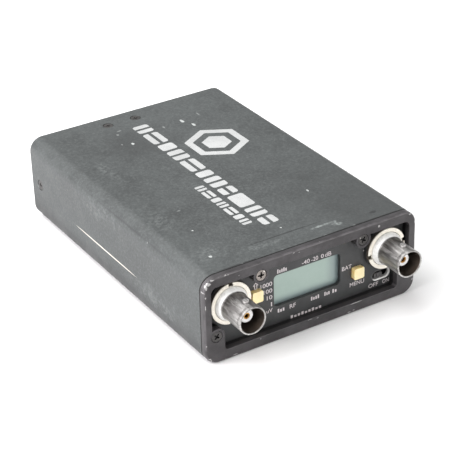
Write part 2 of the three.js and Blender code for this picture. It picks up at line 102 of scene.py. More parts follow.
def alone(piece):
    """Selects this piece and nothing else."""
    bpy.ops.object.select_all(action="DESELECT")
    piece.select_set(True)
    bpy.context.view_layer.objects.active = piece


def block(name, low, high):
    """A box between two corners given in millimetres."""
    bpy.ops.object.select_all(action="DESELECT")
    low, high = Vector(low) * mm, Vector(high) * mm
    bpy.ops.mesh.primitive_cube_add(size=1, location=(low + high) / 2, scale=high - low)
    bpy.ops.object.transform_apply(location=True, rotation=True, scale=True)
    piece = bpy.context.object
    piece.name = piece.data.name = name
    return piece


def choose(piece, kind, test):
    """Opens a piece in edit mode with those faces or edges selected whose middle (mm) and direction pass."""
    alone(piece)
    bpy.ops.object.mode_set(mode="EDIT")
    bpy.ops.mesh.select_mode(type=kind)
    bpy.ops.mesh.select_all(action="DESELECT")
    bpy.ops.object.mode_set(mode="OBJECT")
    points = piece.data.vertices
    if kind == "FACE":
        for face in piece.data.polygons:
            face.select = test(face.center / mm, face.normal)
    else:
        for edge in piece.data.edges:
            start, end = (points[i].co for i in edge.vertices)
            edge.select = test((start + end) / 2 / mm, (end - start).normalized())
    bpy.ops.object.mode_set(mode="EDIT")


def round_edges(piece, radius, steps, test):
    """Rounds the chosen edges of a piece to a radius in millimetres."""
    choose(piece, "EDGE", test)
    bpy.ops.mesh.bevel(offset=radius * mm, segments=steps, affect="EDGES")
    bpy.ops.object.mode_set(mode="OBJECT")


def lengthwise(middle, direction):
    """Whether an edge runs front to back."""
    return abs(direction.y) > 0.99


def rounded_block(name, low, high, corner, steps=8):
    """A box with its four lengthwise edges rounded."""
    piece = block(name, low, high)
    round_edges(piece, corner, steps, lengthwise)
    return piece


def rod(name, start, end, radius, sides=48):
    """A round bar between two points, in millimetres."""
    bpy.ops.object.select_all(action="DESELECT")
    start, end = Vector(start) * mm, Vector(end) * mm
    bpy.ops.mesh.primitive_cylinder_add(
        vertices=sides,
        radius=radius * mm,
        depth=(end - start).length,
        location=(start + end) / 2,
        rotation=(end - start).to_track_quat("Z", "Y").to_euler(),
    )
    bpy.ops.object.transform_apply(location=True, rotation=True, scale=True)
    piece = bpy.context.object
    piece.name = piece.data.name = name
    return piece


def apply_to(piece, kind, **settings):
    """Adds a modifier to a piece and applies it."""
    alone(piece)
    modifier = piece.modifiers.new(kind.lower(), kind)
    for key, value in settings.items():
        setattr(modifier, key, value)
    bpy.ops.object.modifier_apply(modifier=modifier.name)


def cut(piece, *tools, operation="DIFFERENCE"):
    """Cuts each tool's shape out of a piece, or welds it on, and clears the tool away."""
    for tool in tools:
        apply_to(piece, "BOOLEAN", object=tool, operation=operation, solver="EXACT")
        bpy.data.objects.remove(tool)


def weld(piece, *others):
    """Makes one solid of a piece and others."""
    cut(piece, *others, operation="UNION")


def soften(piece, width, steps=2):
    """Breaks every sharp edge by a width in millimetres and shades the rest smoothly."""
    apply_to(
        piece,
        "BEVEL",
        width=width * mm,
        segments=steps,
        limit_method="ANGLE",
        angle_limit=math.radians(35),
        use_clamp_overlap=True,
    )
    alone(piece)
    bpy.ops.object.shade_smooth_by_angle(angle=math.radians(40))
    apply_to(piece, "WEIGHTED_NORMAL", keep_sharp=True)


def countersunk(name, grow=0.0):
    """A countersunk screw, or the hole for it, pointing down from the middle of its head's face."""
    head, shank, top = 1.8 + grow, 0.8 + grow, 1.0 if grow else 0.0
    piece = rod(name, (0, 0, -0.25 - grow), (0, 0, top), head)
    choose(piece, "FACE", lambda middle, normal: normal.z < -0.9)
    bpy.ops.mesh.extrude_region_move(TRANSFORM_OT_translate={"value": (0, 0, -0.95 * mm)})
    bpy.ops.transform.resize(value=(shank / head, shank / head, 1))
    bpy.ops.mesh.extrude_region_move(TRANSFORM_OT_translate={"value": (0, 0, -3.4 * mm)})
    bpy.ops.object.mode_set(mode="OBJECT")
    return piece


def put(piece, matrix):
    """Moves a piece's mesh by a matrix in millimetres."""
    scaled = matrix.copy()
    scaled.translation = matrix.translation * mm
    piece.data.transform(scaled)
    return piece


def measure(name):
    """The corners of a CAD node in millimetres."""
    return tuple(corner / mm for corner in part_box(name))


sleeve_low, sleeve_high = measure("case_sleeve")
case_side, case_top = sleeve_high.x, sleeve_high.z
case_corner = 5.0
wall = 1.6
head_sink = 0.1
sleeve_screws = {}
for name, face, turn in (
    ("top_screw_left", "top", 0),
    ("top_screw_right", "top", 0),
    ("base_screw_left", "base", 180),
    ("base_screw_right", "base", 180),
    ("side_screw", "side", -90),
):
    low, high = measure(name)
    middle = (low + high) / 2
    if face == "top":
        middle.z = case_top - head_sink
    elif face == "base":
        middle.z = head_sink
    else:
        middle.x = head_sink - case_side
    axis = "Y" if face == "side" else "X"
    sleeve_screws[name] = Matrix.Translation(middle) @ Matrix.Rotation(math.radians(turn), 4, axis)


def across_end(y):
    """A test for the edges round a section at y."""
    return lambda middle, direction: abs(middle.y - y) < 0.01 and abs(direction.y) < 0.01


sleeve = rounded_block("sleeve", sleeve_low, sleeve_high, case_corner, 12)
for end_y in (sleeve_low.y, sleeve_high.y):
    round_edges(sleeve, 0.3, 3, across_end(end_y))
inset = Vector((wall, -1, wall))
bore = rounded_block("sleeve_bore", sleeve_low + inset, sleeve_high - inset, case_corner - wall, 12)
cut(sleeve, bore)
for name, matrix in sleeve_screws.items():
    cut(sleeve, put(countersunk(name + "_hole", 0.2), matrix))
soften(sleeve, 0.18)


def node(tree, kind, wires=None, **settings):
    """A shader node with its settings, each input wired to a socket or set to a value."""
    made = tree.nodes.new("ShaderNode" + kind)
    for key, value in settings.items():
        setattr(made, key, value)
    for key, value in (wires or {}).items():
        if isinstance(value, bpy.types.NodeSocket):
            tree.links.new(value, made.inputs[key])
        else:
            made.inputs[key].default_value = value
    return made


def sum_of(tree, operation, first, second=0.0, third=0.0):
    """One step of arithmetic on values."""
    return node(tree, "Math", {0: first, 1: second, 2: third}, operation=operation).outputs[0]


def ramp(tree, value, start, end, low=0.0, high=1.0):
    """Takes a value from low at its start to high at its end, smoothly."""
    wires = {"Value": value, "From Min": start, "From Max": end, "To Min": low, "To Max": high}
    return node(tree, "MapRange", wires, interpolation_type="SMOOTHSTEP").outputs[0]


def noise(tree, place, scale, detail=2.0, roughness=0.5):
    """Cloudy noise, with its scale in cycles to the metre."""
    wires = {"Vector": place, "Scale": scale, "Detail": detail, "Roughness": roughness}
    return node(tree, "TexNoise", wires).outputs["Fac"]


def over(tree, mask, under, top):
    """One colour laid over another by a mask."""
    return node(tree, "Mix", {"Factor": mask, 6: under, 7: top}, data_type="RGBA").outputs[2]


def either(tree, *masks):
    """The strongest of several masks."""
    strongest = masks[0]
    for mask in masks[1:]:
        strongest = sum_of(tree, "MAXIMUM", strongest, mask)
    return strongest


def new_effect(name, inputs, outputs):
    """An empty node group, with the sockets inside it that bring its inputs and take its outputs."""
    tree = bpy.data.node_groups.new(name, "ShaderNodeTree")
    for label, default in inputs.items():
        kind = "NodeSocketVector" if isinstance(default, tuple) else "NodeSocketFloat"
        tree.interface.new_socket(label, in_out="INPUT", socket_type=kind).default_value = default
    for label in outputs:
        tree.interface.new_socket(label, in_out="OUTPUT", socket_type="NodeSocketFloat")
    given = tree.nodes.new("NodeGroupInput").outputs
    return tree, given, tree.nodes.new("NodeGroupOutput").inputs


def use(tree, effect, **wires):
    """Places an effect in a material. Underscores in the names of its inputs stand for spaces."""
    wires = {key.replace("_", " "): value for key, value in wires.items()}
    return node(tree, "Group", wires, node_tree=effect).outputs


# Fine grain in the surface, and cloudy tone over it.
grain, given, result = new_effect(
    "grain", {"Place": (0, 0, 0), "Grain Scale": 2500.0, "Cloud Scale": 60.0}, ("Height", "Cloud", "Speckle")
)
fine = noise(grain, given["Place"], given["Grain Scale"], 3, 0.6)
coarse = noise(grain, given["Place"], given["Cloud Scale"], 5, 0.62)
grain.links.new(fine, result["Height"])
grain.links.new(ramp(grain, coarse, 0.34, 0.66), result["Cloud"])
grain.links.new(ramp(grain, fine, 0.35, 0.68), result["Speckle"])

# Wear where the coat has rubbed off broken edges, and stray chips on the faces between.
edge_wear, given, result = new_effect(
    "edge_wear",
    {"Place": (0, 0, 0), "Edge Amount": 0.5, "Chip Amount": 0.1, "Chip Scale": 700.0},
    ("Bare", "Edge"),
)
facing = node(edge_wear, "NewGeometry").outputs["True Normal"]
squared = node(edge_wear, "VectorMath", {0: facing, 1: facing}, operation="MULTIPLY").outputs[0]
flatness = node(edge_wear, "VectorMath", {0: squared, 1: squared}, operation="DOT_PRODUCT").outputs["Value"]
edge = ramp(edge_wear, flatness, 0.95, 0.62)
ragged = noise(edge_wear, given["Place"], given["Chip Scale"], 4, 0.7)
patch_scale = sum_of(edge_wear, "MULTIPLY", given["Chip Scale"], 0.15)
patches = noise(edge_wear, given["Place"], patch_scale, 2)
rubbed = sum_of(edge_wear, "MULTIPLY_ADD", patches, 0.7, ragged)
hold = sum_of(edge_wear, "MULTIPLY_ADD", given["Edge Amount"], -0.6, 1.15)
past_hold = sum_of(edge_wear, "SUBTRACT", rubbed, hold)
edge_bare = sum_of(edge_wear, "MULTIPLY", edge, ramp(edge_wear, past_hold, -0.03, 0.03))
cells = node(edge_wear, "TexVoronoi", {"Vector": given["Place"], "Scale": given["Chip Scale"]}).outputs
luck = node(edge_wear, "SeparateColor", {0: cells["Color"]}).outputs[0]
least = sum_of(edge_wear, "SUBTRACT", 1.0, given["Chip Amount"])
chip_size = sum_of(edge_wear, "MULTIPLY", sum_of(edge_wear, "GREATER_THAN", luck, least), 0.28)
chip_bare = sum_of(edge_wear, "LESS_THAN", cells["Distance"], chip_size)
edge_wear.links.new(sum_of(edge_wear, "MAXIMUM", edge_bare, chip_bare), result["Bare"])
edge_wear.links.new(edge, result["Edge"])

# One chip, scratch or scuff with ragged edges, at its own place.
mark, given, result = new_effect(
    "mark",
    {
        "Place": (0, 0, 0),
        "Middle": (0, 0, 0),
        "Half Size": (0.001, 0.001, 0.001),
        "Raggedness": 0.8,
        "Ragged Scale": 1500.0,
        "Softness": 0.25,
    },
    ("Mask",),
)
offset = node(mark, "VectorMath", {0: given["Place"], 1: given["Middle"]}, operation="SUBTRACT").outputs[0]
relative = node(mark, "VectorMath", {0: offset, 1: given["Half Size"]}, operation="DIVIDE").outputs[0]
reach = node(mark, "VectorMath", {0: relative}, operation="LENGTH").outputs["Value"]
torn = sum_of(mark, "SUBTRACT", noise(mark, given["Place"], given["Ragged Scale"], 4, 0.7), 0.5)
torn_reach = sum_of(mark, "MULTIPLY_ADD", torn, given["Raggedness"], reach)
fade = sum_of(mark, "SUBTRACT", 1.0, given["Softness"])
mark.links.new(ramp(mark, torn_reach, 1.0, fade), result["Mask"])


def marks(tree, place, spots, raggedness=1.6, scale=1400.0, softness=0.25):
    """The mask of several marks, each given by its middle and half size in millimetres."""
    masks = []
    for middle, half in spots:
        wires = {"Middle": Vector(middle) * mm, "Half Size": Vector(half) * mm}
        wires.update({"Place": place, "Raggedness": raggedness, "Ragged Scale": scale, "Softness": softness})
        masks.append(node(tree, "Group", wires, node_tree=mark).outputs[0])
    return either(tree, *masks)


def new_finish(name):
    """A material, its node tree, and the object's own coordinates."""
    made = bpy.data.materials.new(name)
    made.use_nodes = True
    place = node(made.node_tree, "TexCoord").outputs["Object"]
    return made, made.node_tree, place


def wire(tree, **inputs):
    """Sets the shader's inputs, from sockets or to values. Underscores in their names stand for spaces."""
    shader = tree.nodes["Principled BSDF"]
    for key, value in inputs.items():
        socket = shader.inputs[key.replace("_", " ")]
        if isinstance(value, bpy.types.NodeSocket):
            tree.links.new(value, socket)
        else:
            socket.default_value = value


def bump(tree, height, depth):
    """The normal of a surface with a height on it, its depth in millimetres."""
    return node(tree, "Bump", {"Height": height, "Distance": depth * mm}).outputs[0]


def fit(piece, body, finish, slot, *nodes):
    """Gives a finished piece its material and body, and says which CAD nodes it stands for."""
    piece.data.materials.clear()
    piece.data.materials.append(finish)
    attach(piece, body)
    if nodes:
        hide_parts(*nodes)


sleeve_paint, tree, place = new_finish("sleeve_paint")
skin = use(tree, grain, Place=place, Grain_Scale=2300.0, Cloud_Scale=130.0)
smoke = use(tree, grain, Place=place, Grain_Scale=420.0, Cloud_Scale=22.0)
tone = over(tree, smoke["Cloud"], (0.040, 0.044, 0.044, 1), (0.058, 0.064, 0.064, 1))
tone = over(tree, sum_of(tree, "MULTIPLY", skin["Cloud"], 0.35), tone, (0.078, 0.086, 0.085, 1))
dust = noise(tree, place, 1100.0, 5, 0.75)
tone = over(tree, ramp(tree, dust, 0.45, 0.70, 0.0, 0.5), tone, (0.12, 0.132, 0.13, 1))
tone = over(tree, ramp(tree, dust, 0.45, 0.32, 0.0, 0.45), tone, (0.022, 0.024, 0.024, 1))
deck_z = case_top
# Two broad zones of the deck are painted darker. The larger one, over the right half, is painted shade for
# light that falls off towards that side.
darker_deck_places = [((-11, 35, deck_z), (20, 19, 5)), ((30, -50, deck_z), (34, 60, 5))]
darker_deck_zones = marks(tree, place, darker_deck_places, 1.0, 60.0, 0.9)
tone = over(tree, sum_of(tree, "MULTIPLY", darker_deck_zones, 0.5), tone, (0.030, 0.032, 0.032, 1))
# Thin dark lines painted across the deck, three of them near its front edge.
dark_lines = marks(
    tree,
    place,
    [
        ((-3, -49.4, deck_z), (14, 0.35, 2)),
        ((-27, -57.6, deck_z), (9, 0.45, 2)),
        ((20, -57.7, deck_z), (16, 0.3, 2)),
        ((28, -54, deck_z), (1.6, 0.8, 2)),
    ],
    1.6,
    500.0,
)
tone = over(tree, sum_of(tree, "MULTIPLY", dark_lines, 0.8), tone, (0.018, 0.019, 0.02, 1))
# A darker band painted along each upper corner of the sleeve: a painted dark reflection in the rounding.
corner_band_places = [((side * 40.2, -8, 28.6), (1.2, 54, 0.45)) for side in (-1, 1)]
painted_corner_reflection = marks(tree, place, corner_band_places, 1.2, 90.0, 0.8)
tone = over(tree, sum_of(tree, "MULTIPLY", painted_corner_reflection, 0.45), tone, (0.026, 0.027, 0.029, 1))
# The sleeve is painted darker towards the bottom.
lower_darkening = ramp(tree, node(tree, "SeparateXYZ", {0: place}).outputs[2], 11 * mm, 2 * mm, 0.0, 0.9)
tone = over(tree, lower_darkening, tone, (0.030, 0.031, 0.032, 1))
pale_scuff = marks(
    tree,
    place,
    [
        ((-30, -46, deck_z), (8, 6, 2)),
        ((-14, -52, deck_z), (12, 2.5, 2)),
        ((-33, -20, deck_z), (5, 9, 2)),
        ((-30, 22, deck_z), (3, 12, 2)),
        ((-4.5, -58, 27.5), (28, 0.5, 4)),
        ((-41, 8, 25), (2, 18, 5)),
        ((-41, -30, 9), (2, 20, 5)),
    ],
    2.0,
    330.0,
    0.8,
)
patchy = ramp(tree, noise(tree, place, 700.0, 4, 0.7), 0.42, 0.62)
scuffed = sum_of(tree, "MULTIPLY", sum_of(tree, "MULTIPLY", pale_scuff, patchy), 0.42)
tone = over(tree, scuffed, tone, (0.17, 0.185, 0.182, 1))
white_rub = marks(
    tree, place, [((10.5, -52, deck_z), (7, 0.8, 2)), ((13.6, -53.8, deck_z), (2.2, 1.8, 2))], 2.0, 500.0, 0.7
)
white_rub = sum_of(tree, "MULTIPLY", white_rub, sum_of(tree, "MULTIPLY_ADD", patchy, 0.5, 0.12))
tone = over(tree, white_rub, tone, (0.30, 0.33, 0.32, 1))
paint_chips = marks(
    tree,
    place,
    [
        ((12, 41.5, deck_z), (0.65, 1.5, 2)),
        ((14, 36.5, deck_z), (0.65, 1.5, 2)),
        ((-12, 35.5, deck_z), (0.6, 0.9, 2)),
        ((-27, -31, deck_z), (0.35, 0.4, 2)),
        ((19, -29.5, deck_z), (0.35, 0.8, 2)),
        ((-31, -48.5, deck_z), (0.6, 0.7, 2)),
        ((-2.5, -45.6, deck_z), (0.4, 0.4, 2)),
    ],
    1.5,
    1300.0,
)
faint_chips = marks(
    tree,
    place,
    [
        ((3.9, 41, deck_z), (0.5, 1.2, 2)),
        ((20, 43.5, deck_z), (0.4, 1.6, 2)),
        ((-13, 45, deck_z), (0.6, 0.8, 2)),
        ((-11, 47.5, deck_z), (1.2, 0.5, 2)),
        ((-15.5, 37, deck_z), (0.35, 0.6, 2)),
        ((-24, -17, deck_z), (1.0, 0.3, 2)),
        ((-40, -25, 28.3), (1.5, 0.4, 0.5)),
        ((-40.9, 55.3, 14.4), (1, 1.0, 0.8)),
    ],
    1.5,
    1300.0,
    0.5,
)
scratch = marks(tree, place, [((-41, 5.0, 11.4), (1, 23, 0.3))], 0.25, 2000.0, 0.15)
rim = node(tree, "SeparateXYZ", {0: place}).outputs[1]
front_rim = ramp(tree, rim, (sleeve_low.y + 0.9) * mm, (sleeve_low.y + 0.4) * mm)
rim_wear = sum_of(tree, "MULTIPLY", front_rim, ramp(tree, noise(tree, place, 260.0, 4, 0.7), 0.56, 0.68))
primer = either(tree, paint_chips, sum_of(tree, "MULTIPLY", rim_wear, 0.3))
primer = either(tree, primer, sum_of(tree, "MULTIPLY", faint_chips, 0.35))
tone = over(tree, primer, tone, (0.42, 0.44, 0.43, 1))
tone = over(tree, scratch, tone, (0.58, 0.56, 0.50, 1))
# A thin near-black band at the sleeve's front rim: painted shade in the seam against the bezel.
grime_and_seam_shade = ramp(tree, rim, (sleeve_low.y + 0.34) * mm, (sleeve_low.y + 0.14) * mm, 0.0, 0.9)
tone = over(tree, grime_and_seam_shade, tone, (0.008, 0.008, 0.008, 1))
gone = either(tree, primer, scratch)
relief = sum_of(tree, "MULTIPLY_ADD", gone, -1.2, skin["Height"])
relief = sum_of(tree, "MULTIPLY_ADD", smoke["Height"], 0.5, relief)
wire(
    tree,
    Base_Color=tone,
    Roughness=ramp(tree, skin["Cloud"], 0.0, 1.0, 0.46, 0.56),
    Normal=bump(tree, relief, 0.05),
)
fit(sleeve, "receiver_case", sleeve_paint, "sleeve_paint", "case_sleeve")

# ---- Sleeve screws ----
# Five small countersunk steel screws, blackened, with a cross recess: two in the deck, two in the base and
# one in the left side. Each sits just below the paint.


def copy_of(piece, name):
    """A second piece with its own mesh."""
    twin = piece.copy()
    twin.data = piece.data.copy()
    twin.name = twin.data.name = name
    bpy.context.collection.objects.link(twin)
    return twin


def coated(name, dark, light, roughness, bare, edges, chips, metallic=0.0, scale=700.0, marked=()):
    """A coat over metal, cloudy between two tones, worn through on edges, in chips and where it is marked."""
    made, tree, place = new_finish(name)
    skin = use(tree, grain, Place=place, Grain_Scale=3200.0, Cloud_Scale=140.0)
    wear = use(tree, edge_wear, Place=place, Edge_Amount=edges, Chip_Amount=chips, Chip_Scale=scale)
    through = wear["Bare"]
    if marked:
        through = either(tree, through, marks(tree, place, marked, 1.7, 900.0))
    # Broken edges are painted lighter in patches: partly polish from handling, partly painted sheen.
    handling = ramp(tree, noise(tree, place, 300.0, 3), 0.3, 0.65, 0.15, 0.6)
    polish_and_sheen = sum_of(tree, "MULTIPLY", wear["Edge"], handling)
    tone = over(tree, skin["Cloud"], (*dark, 1), (*light, 1))
    tone = over(tree, polish_and_sheen, tone, (*(min(1, level * 2.2) for level in light), 1))
    tone = over(tree, through, tone, (*bare, 1))
    wire(
        tree,
        Base_Color=tone,
        Metallic=sum_of(tree, "MULTIPLY_ADD", through, 0.8 - metallic, metallic),
        Roughness=ramp(tree, skin["Cloud"], 0.0, 1.0, roughness - 0.05, roughness + 0.05),
        Normal=bump(tree, sum_of(tree, "MULTIPLY_ADD", through, -1.0, skin["Height"]), 0.02),
    )
    return made, tree, place, tone


def cross_recess(name, reach, blade, depth):
    """The tool for a cross recess, driven down from the origin."""
    tool = block(name, (-reach, -blade, -depth), (reach, blade, 1))
    weld(tool, block(name + "_across", (-blade, -reach, -depth), (blade, reach, 1)))
    return tool


blackened = ((0.045, 0.043, 0.042), (0.080, 0.076, 0.074), 0.42, (0.4, 0.38, 0.36), 0.1, 0.02, 0.5)
black_screw = coated("black_screw", *blackened)[0]
first_screw = countersunk("first_screw")
cut(first_screw, cross_recess("sleeve_screw_recess", 0.95, 0.22, 0.7))
soften(first_screw, 0.06)
for name, matrix in sleeve_screws.items():
    screw = put(copy_of(first_screw, name + "_piece"), matrix)
    fit(screw, "receiver_case", black_screw, "black_screw", name)
bpy.data.objects.remove(first_screw)

# ---- Deck print ----
# White ink, screen printed on the deck in plain shapes: a strip of rounded blocks down the middle, some of
# them split in two, a thinner strip beside it, and a hexagon in a ring. The ink is a few hundredths thick.

ink_low, ink_high = case_top - 0.02, case_top + 0.02


def printed_row(name, x0, x1, y_start, lengths, gap, corner):
    """A row of rounded blocks of ink that runs forwards along the deck, some of them split."""
    y = y_start
    for i, length in enumerate(lengths):
        tile = block(f"{name}_{i + 1}", (x0, y - length, ink_low), (x1, y, ink_high))
        round_edges(tile, corner, 4, lambda middle, direction: abs(direction.z) > 0.99)
        middle_x, middle_y, groove = (x0 + x1) / 2, y - length / 2, (x1 - x0) * 0.11
        low_z, high_z = case_top - 1, case_top + 1
        if i % 3 == 0:
            low, high = (x0 - 1, middle_y - groove, low_z), (x1 + 1, middle_y + groove, high_z)
            cut(tile, block("groove", low, high))
        elif i % 3 == 1:
            low, high = (middle_x - groove, y - length - 1, low_z), (middle_x + groove, y + 1, high_z)
            cut(tile, block("groove", low, high))
        yield tile
        y -= length + gap


def hexagon(name, radius, x, y):
    """A six-sided slab of ink."""
    return rod(name, (x, y, ink_low), (x, y, ink_high), radius, 6)


def joined(pieces):
    """Puts separate shapes into one piece."""
    bpy.ops.object.select_all(action="DESELECT")
    for piece in pieces:
        piece.select_set(True)
    bpy.context.view_layer.objects.active = pieces[0]
    bpy.ops.object.join()
    return bpy.context.object


def ink(name, colour, worn, amount):
    """Printing ink, thin in places so that the coat shows through."""
    made, tree, place = new_finish(name)
    skin = use(tree, grain, Place=place, Grain_Scale=2600.0, Cloud_Scale=90.0)
    gone = ramp(tree, noise(tree, place, 900.0, 4, 0.65), amount, amount + 0.06)
    tone = over(tree, skin["Cloud"], (*colour, 1), (*(level * 0.86 for level in colour), 1))
    wire(
        tree,
        Base_Color=over(tree, gone, tone, (*worn, 1)),
        Roughness=ramp(tree, skin["Speckle"], 0.0, 1.0, 0.5, 0.62),
        Normal=bump(tree, skin["Height"], 0.01),
    )
    return made


ring_x, ring_y = 13.4, 19.5
hexagon_ring = hexagon("hexagon_ring", 11.6, ring_x, ring_y)
cut(hexagon_ring, rod("hexagon_hole", (ring_x, ring_y, 30), (ring_x, ring_y, 33), 8.6, 6))
strip = list(printed_row("strip", -6, 0, 47, (6.2, 9, 5, 7.4, 9, 4, 7.4, 5, 9, 6.2, 5), 1.5, 1))
thin_strip = list(printed_row("thin_strip", -11.5, -8, -6, (3.4, 5, 2.6, 3.4, 5, 2.6, 3.4), 1.0, 0.6))
deck_print = joined([hexagon_ring, hexagon("hexagon_middle", 5.4, ring_x, ring_y), *strip, *thin_strip])
deck_print.name = deck_print.data.name = "deck_print"
fit(deck_print, "receiver_case", ink("white_ink", (0.47, 0.48, 0.475), (0.1, 0.11, 0.11), 0.67), None)

# ---- Bezel ----
# A frame milled from aluminium bar and anodised black, with an ear round each of its four screws. Its front
# edges and corners have worn to bare metal, and a skirt behind it plugs into the sleeve.

bezel_low, bezel_high = measure("front_bezel")
front_y = bezel_low.y
skirt_y = front_y + 2.4
fit_gap = 0.3
bore_side = case_side - wall - fit_gap
bore_base, bore_top = wall + fit_gap, case_top - wall - fit_gap
bore_corner = case_corner - wall - fit_gap

bezel = rounded_block("bezel", (-case_side, front_y, 0), (case_side, skirt_y, case_top), case_corner, 12)
round_edges(bezel, 0.8, 5, across_end(front_y))
round_edges(bezel, 0.3, 3, across_end(skirt_y))
weld(
    bezel,
    rounded_block(
        "bezel_skirt",
        (-bore_side, skirt_y - 0.2, bore_base),
        (bore_side, bezel_high.y, bore_top),
        bore_corner,
    ),
)
window_side, window_base, window_top = 38.3, 3.9, 27.7
ear_radius = 2.9
screw_places = {}
for name in ("upper_left", "upper_right", "lower_left", "lower_right"):
    low, high = measure("bezel_screw_" + name)
    screw_places[name] = (low + high) / 2

window = block("bezel_window", (-window_side, front_y - 2, window_base), (window_side, -50, window_top))
round_edges(window, 2, 8, lambda middle, direction: lengthwise(middle, direction) and middle.z > 20)
for name, middle in screw_places.items():
    start, end = (middle.x, front_y - 4, middle.z), (middle.x, -48, middle.z)
    cut(window, rod(name + "_ear", start, end, ear_radius))
    if "lower" in name:
        inner, outer = sorted((middle.x, math.copysign(45, middle.x)))
        cut(window, block(name + "_web", (inner, front_y - 4, 0), (outer, -48, middle.z)))
        inner, outer = sorted((middle.x - math.copysign(ear_radius, middle.x), math.copysign(45, middle.x)))
        cut(window, block(name + "_foot", (inner, front_y - 4, 0), (outer, -48, middle.z)))
fillet_x = screw_places["lower_right"].x - ear_radius


def at_window_foot(middle, direction):
    """The two lower corners of the opening, between the ears."""
    in_corner = middle.z < window_base + 0.1 and abs(abs(middle.x) - fillet_x) < 0.1
    return lengthwise(middle, direction) and in_corner


round_edges(window, 1, 6, at_window_foot)
cut(bezel, window)
for name, middle in screw_places.items():
    for depth_y, radius in ((front_y + 1.4, 2.05), (-50, 1.1)):
        start, end = (middle.x, front_y - 1, middle.z), (middle.x, depth_y, middle.z)
        cut(bezel, rod(name + "_hole", start, end, radius))
soften(bezel, 0.28, 3)
black_anodised, tree, place, tone = coated(
    "black_anodised",
    (0.040, 0.037, 0.039),
    (0.066, 0.062, 0.065),
    0.42,
    (0.42, 0.415, 0.41),
    0.09,
    0.003,
    0.35,
    620.0,
    [
        ((-39.0, front_y + 0.3, 29.6), (0.9, 0.8, 0.5)),
        ((-39.9, front_y + 0.4, 28.6), (0.4, 1.0, 0.9)),
        ((-40.6, front_y + 0.9, 27.0), (0.5, 0.9, 0.4)),
        ((-37.6, front_y + 0.3, 30.6), (0.8, 0.5, 0.3)),
        ((-40.3, front_y + 0.2, 25.2), (0.25, 0.5, 0.4)),
        ((-40.4, front_y + 0.3, 21.5), (0.2, 0.5, 1.2)),
        ((-39.6, front_y + 0.2, 2.4), (0.6, 0.6, 0.35)),
        ((-39.0, front_y + 0.3, 1.6), (0.3, 0.8, 0.5)),
        ((-40.5, front_y + 0.5, 7.5), (0.3, 0.5, 0.5)),
        ((40.1, front_y, 4.8), (0.35, 0.6, 0.3)),
        ((38.6, front_y + 0.2, 30.1), (0.8, 0.4, 0.2)),
        ((40.5, front_y, 26.6), (0.25, 0.5, 0.5)),
        ((-28.0, front_y, 29.3), (0.25, 0.4, 0.12)),
        ((-7.5, front_y + 0.2, 30.6), (0.5, 0.5, 0.1)),
        ((-5.5, front_y + 0.2, 30.2), (0.25, 0.5, 0.1)),
        ((14.2, front_y, 0.9), (0.7, 0.4, 0.2)),
        ((16.0, front_y, 1.1), (0.4, 0.4, 0.15)),
        ((-30, front_y, 0.9), (1.0, 0.5, 0.15)),
        ((-20.5, front_y, 3.2), (0.25, 0.5, 0.2)),
        ((-1.5, front_y, 3.6), (1.2, 0.5, 0.1)),
        ((1.6, front_y, 3.2), (0.4, 0.5, 0.12)),
        ((17, front_y, 3.65), (2.6, 0.5, 0.1)),
    ],
)
# The bezel's back edge at the seam is painted near black: painted shade in the seam against the sleeve.
along_y = node(tree, "SeparateXYZ", {0: place}).outputs[1]
before_seam = ramp(tree, along_y, (skirt_y - 0.36) * mm, (skirt_y - 0.16) * mm, 0.0, 0.9)
in_seam = sum_of(tree, "MULTIPLY", before_seam, ramp(tree, along_y, 0.0, -0.01))
wire(tree, Base_Color=over(tree, in_seam, tone, (0.008, 0.008, 0.008, 1)))
fit(bezel, "receiver_case", black_anodised, "black_anodised", "front_bezel")

# ---- Bezel screws ----
# Four steel screws with a cross recess, sunk in the ears of the bezel. Three keep their black finish, and
# the head of the upper left one has been turned so often that it is worn bright.

first_screw = rod("first_bezel_screw", (0, 0, 0), (0, 1.2, 0), 1.9)
weld(first_screw, rod("first_bezel_shank", (0, 1, 0), (0, 7.5, 0), 0.8))
recess = cross_recess("bezel_screw_recess", 1.15, 0.28, 0.8)
recess.data.transform(Matrix.Rotation(math.radians(90), 4, "X"))
cut(first_screw, recess)
soften(first_screw, 0.22, 3)


def dark_recess(coat, recess_tone):
    """A coated screw's finish, darker deep in its recess."""
    made, tree, place, tone = coat
    recess_depth = node(tree, "SeparateXYZ", {0: place}).outputs[1]
    deep_in_recess = ramp(tree, recess_depth, (front_y + 0.2) * mm, (front_y + 0.4) * mm)
    wire(tree, Base_Color=over(tree, deep_in_recess, tone, (*recess_tone, 1)))
    return made


worn_screw = dark_recess(
    coated("worn_screw", (0.15, 0.135, 0.125), (0.30, 0.27, 0.25), 0.38, (0.66, 0.62, 0.58), 0.4, 0.1, 0.9),
    (0.012, 0.011, 0.010),
)
bezel_screw = dark_recess(
    coated("bezel_screw", *blackened),
    (0.006, 0.006, 0.006),
)
recess_turns = {"upper_left": 4, "upper_right": 32, "lower_left": 41, "lower_right": 12}
for name, middle in screw_places.items():
    place_at = Matrix.Translation((middle.x, front_y + 0.1, middle.z))
    turn = Matrix.Rotation(math.radians(recess_turns[name]), 4, "Y")
    screw = put(copy_of(first_screw, f"bezel_screw_{name}_piece"), place_at @ turn)
    finish, slot = (worn_screw, "worn_screw") if name == "upper_left" else (bezel_screw, "black_screw")
    fit(screw, "receiver_case", finish, slot, "bezel_screw_" + name)
bpy.data.objects.remove(first_screw)

# ---- Front panel ----
# A black anodised aluminium plate behind the bezel, punched for the display, three keys, the power switch
# and the two antenna sockets. Threaded posts on its back take the bezel's screws.

panel_low, panel_high = measure("front_panel")
panel_y = panel_low.y
panel_back_y = panel_y + 1.3
display_x, display_z, display_corner = 0.25, 16.1, 1.4
keys = {}
for name in ("up", "down", "menu"):
    low, high = measure(name + "_button")
    keys[name] = (low + high) / 2
antenna_low, antenna_high = measure("right_antenna_body")
antenna_x, antenna_z = (antenna_low.x + antenna_high.x) / 2, (antenna_low.z + antenna_high.z) / 2
slot_x, slot_z = 29.75, 8.4

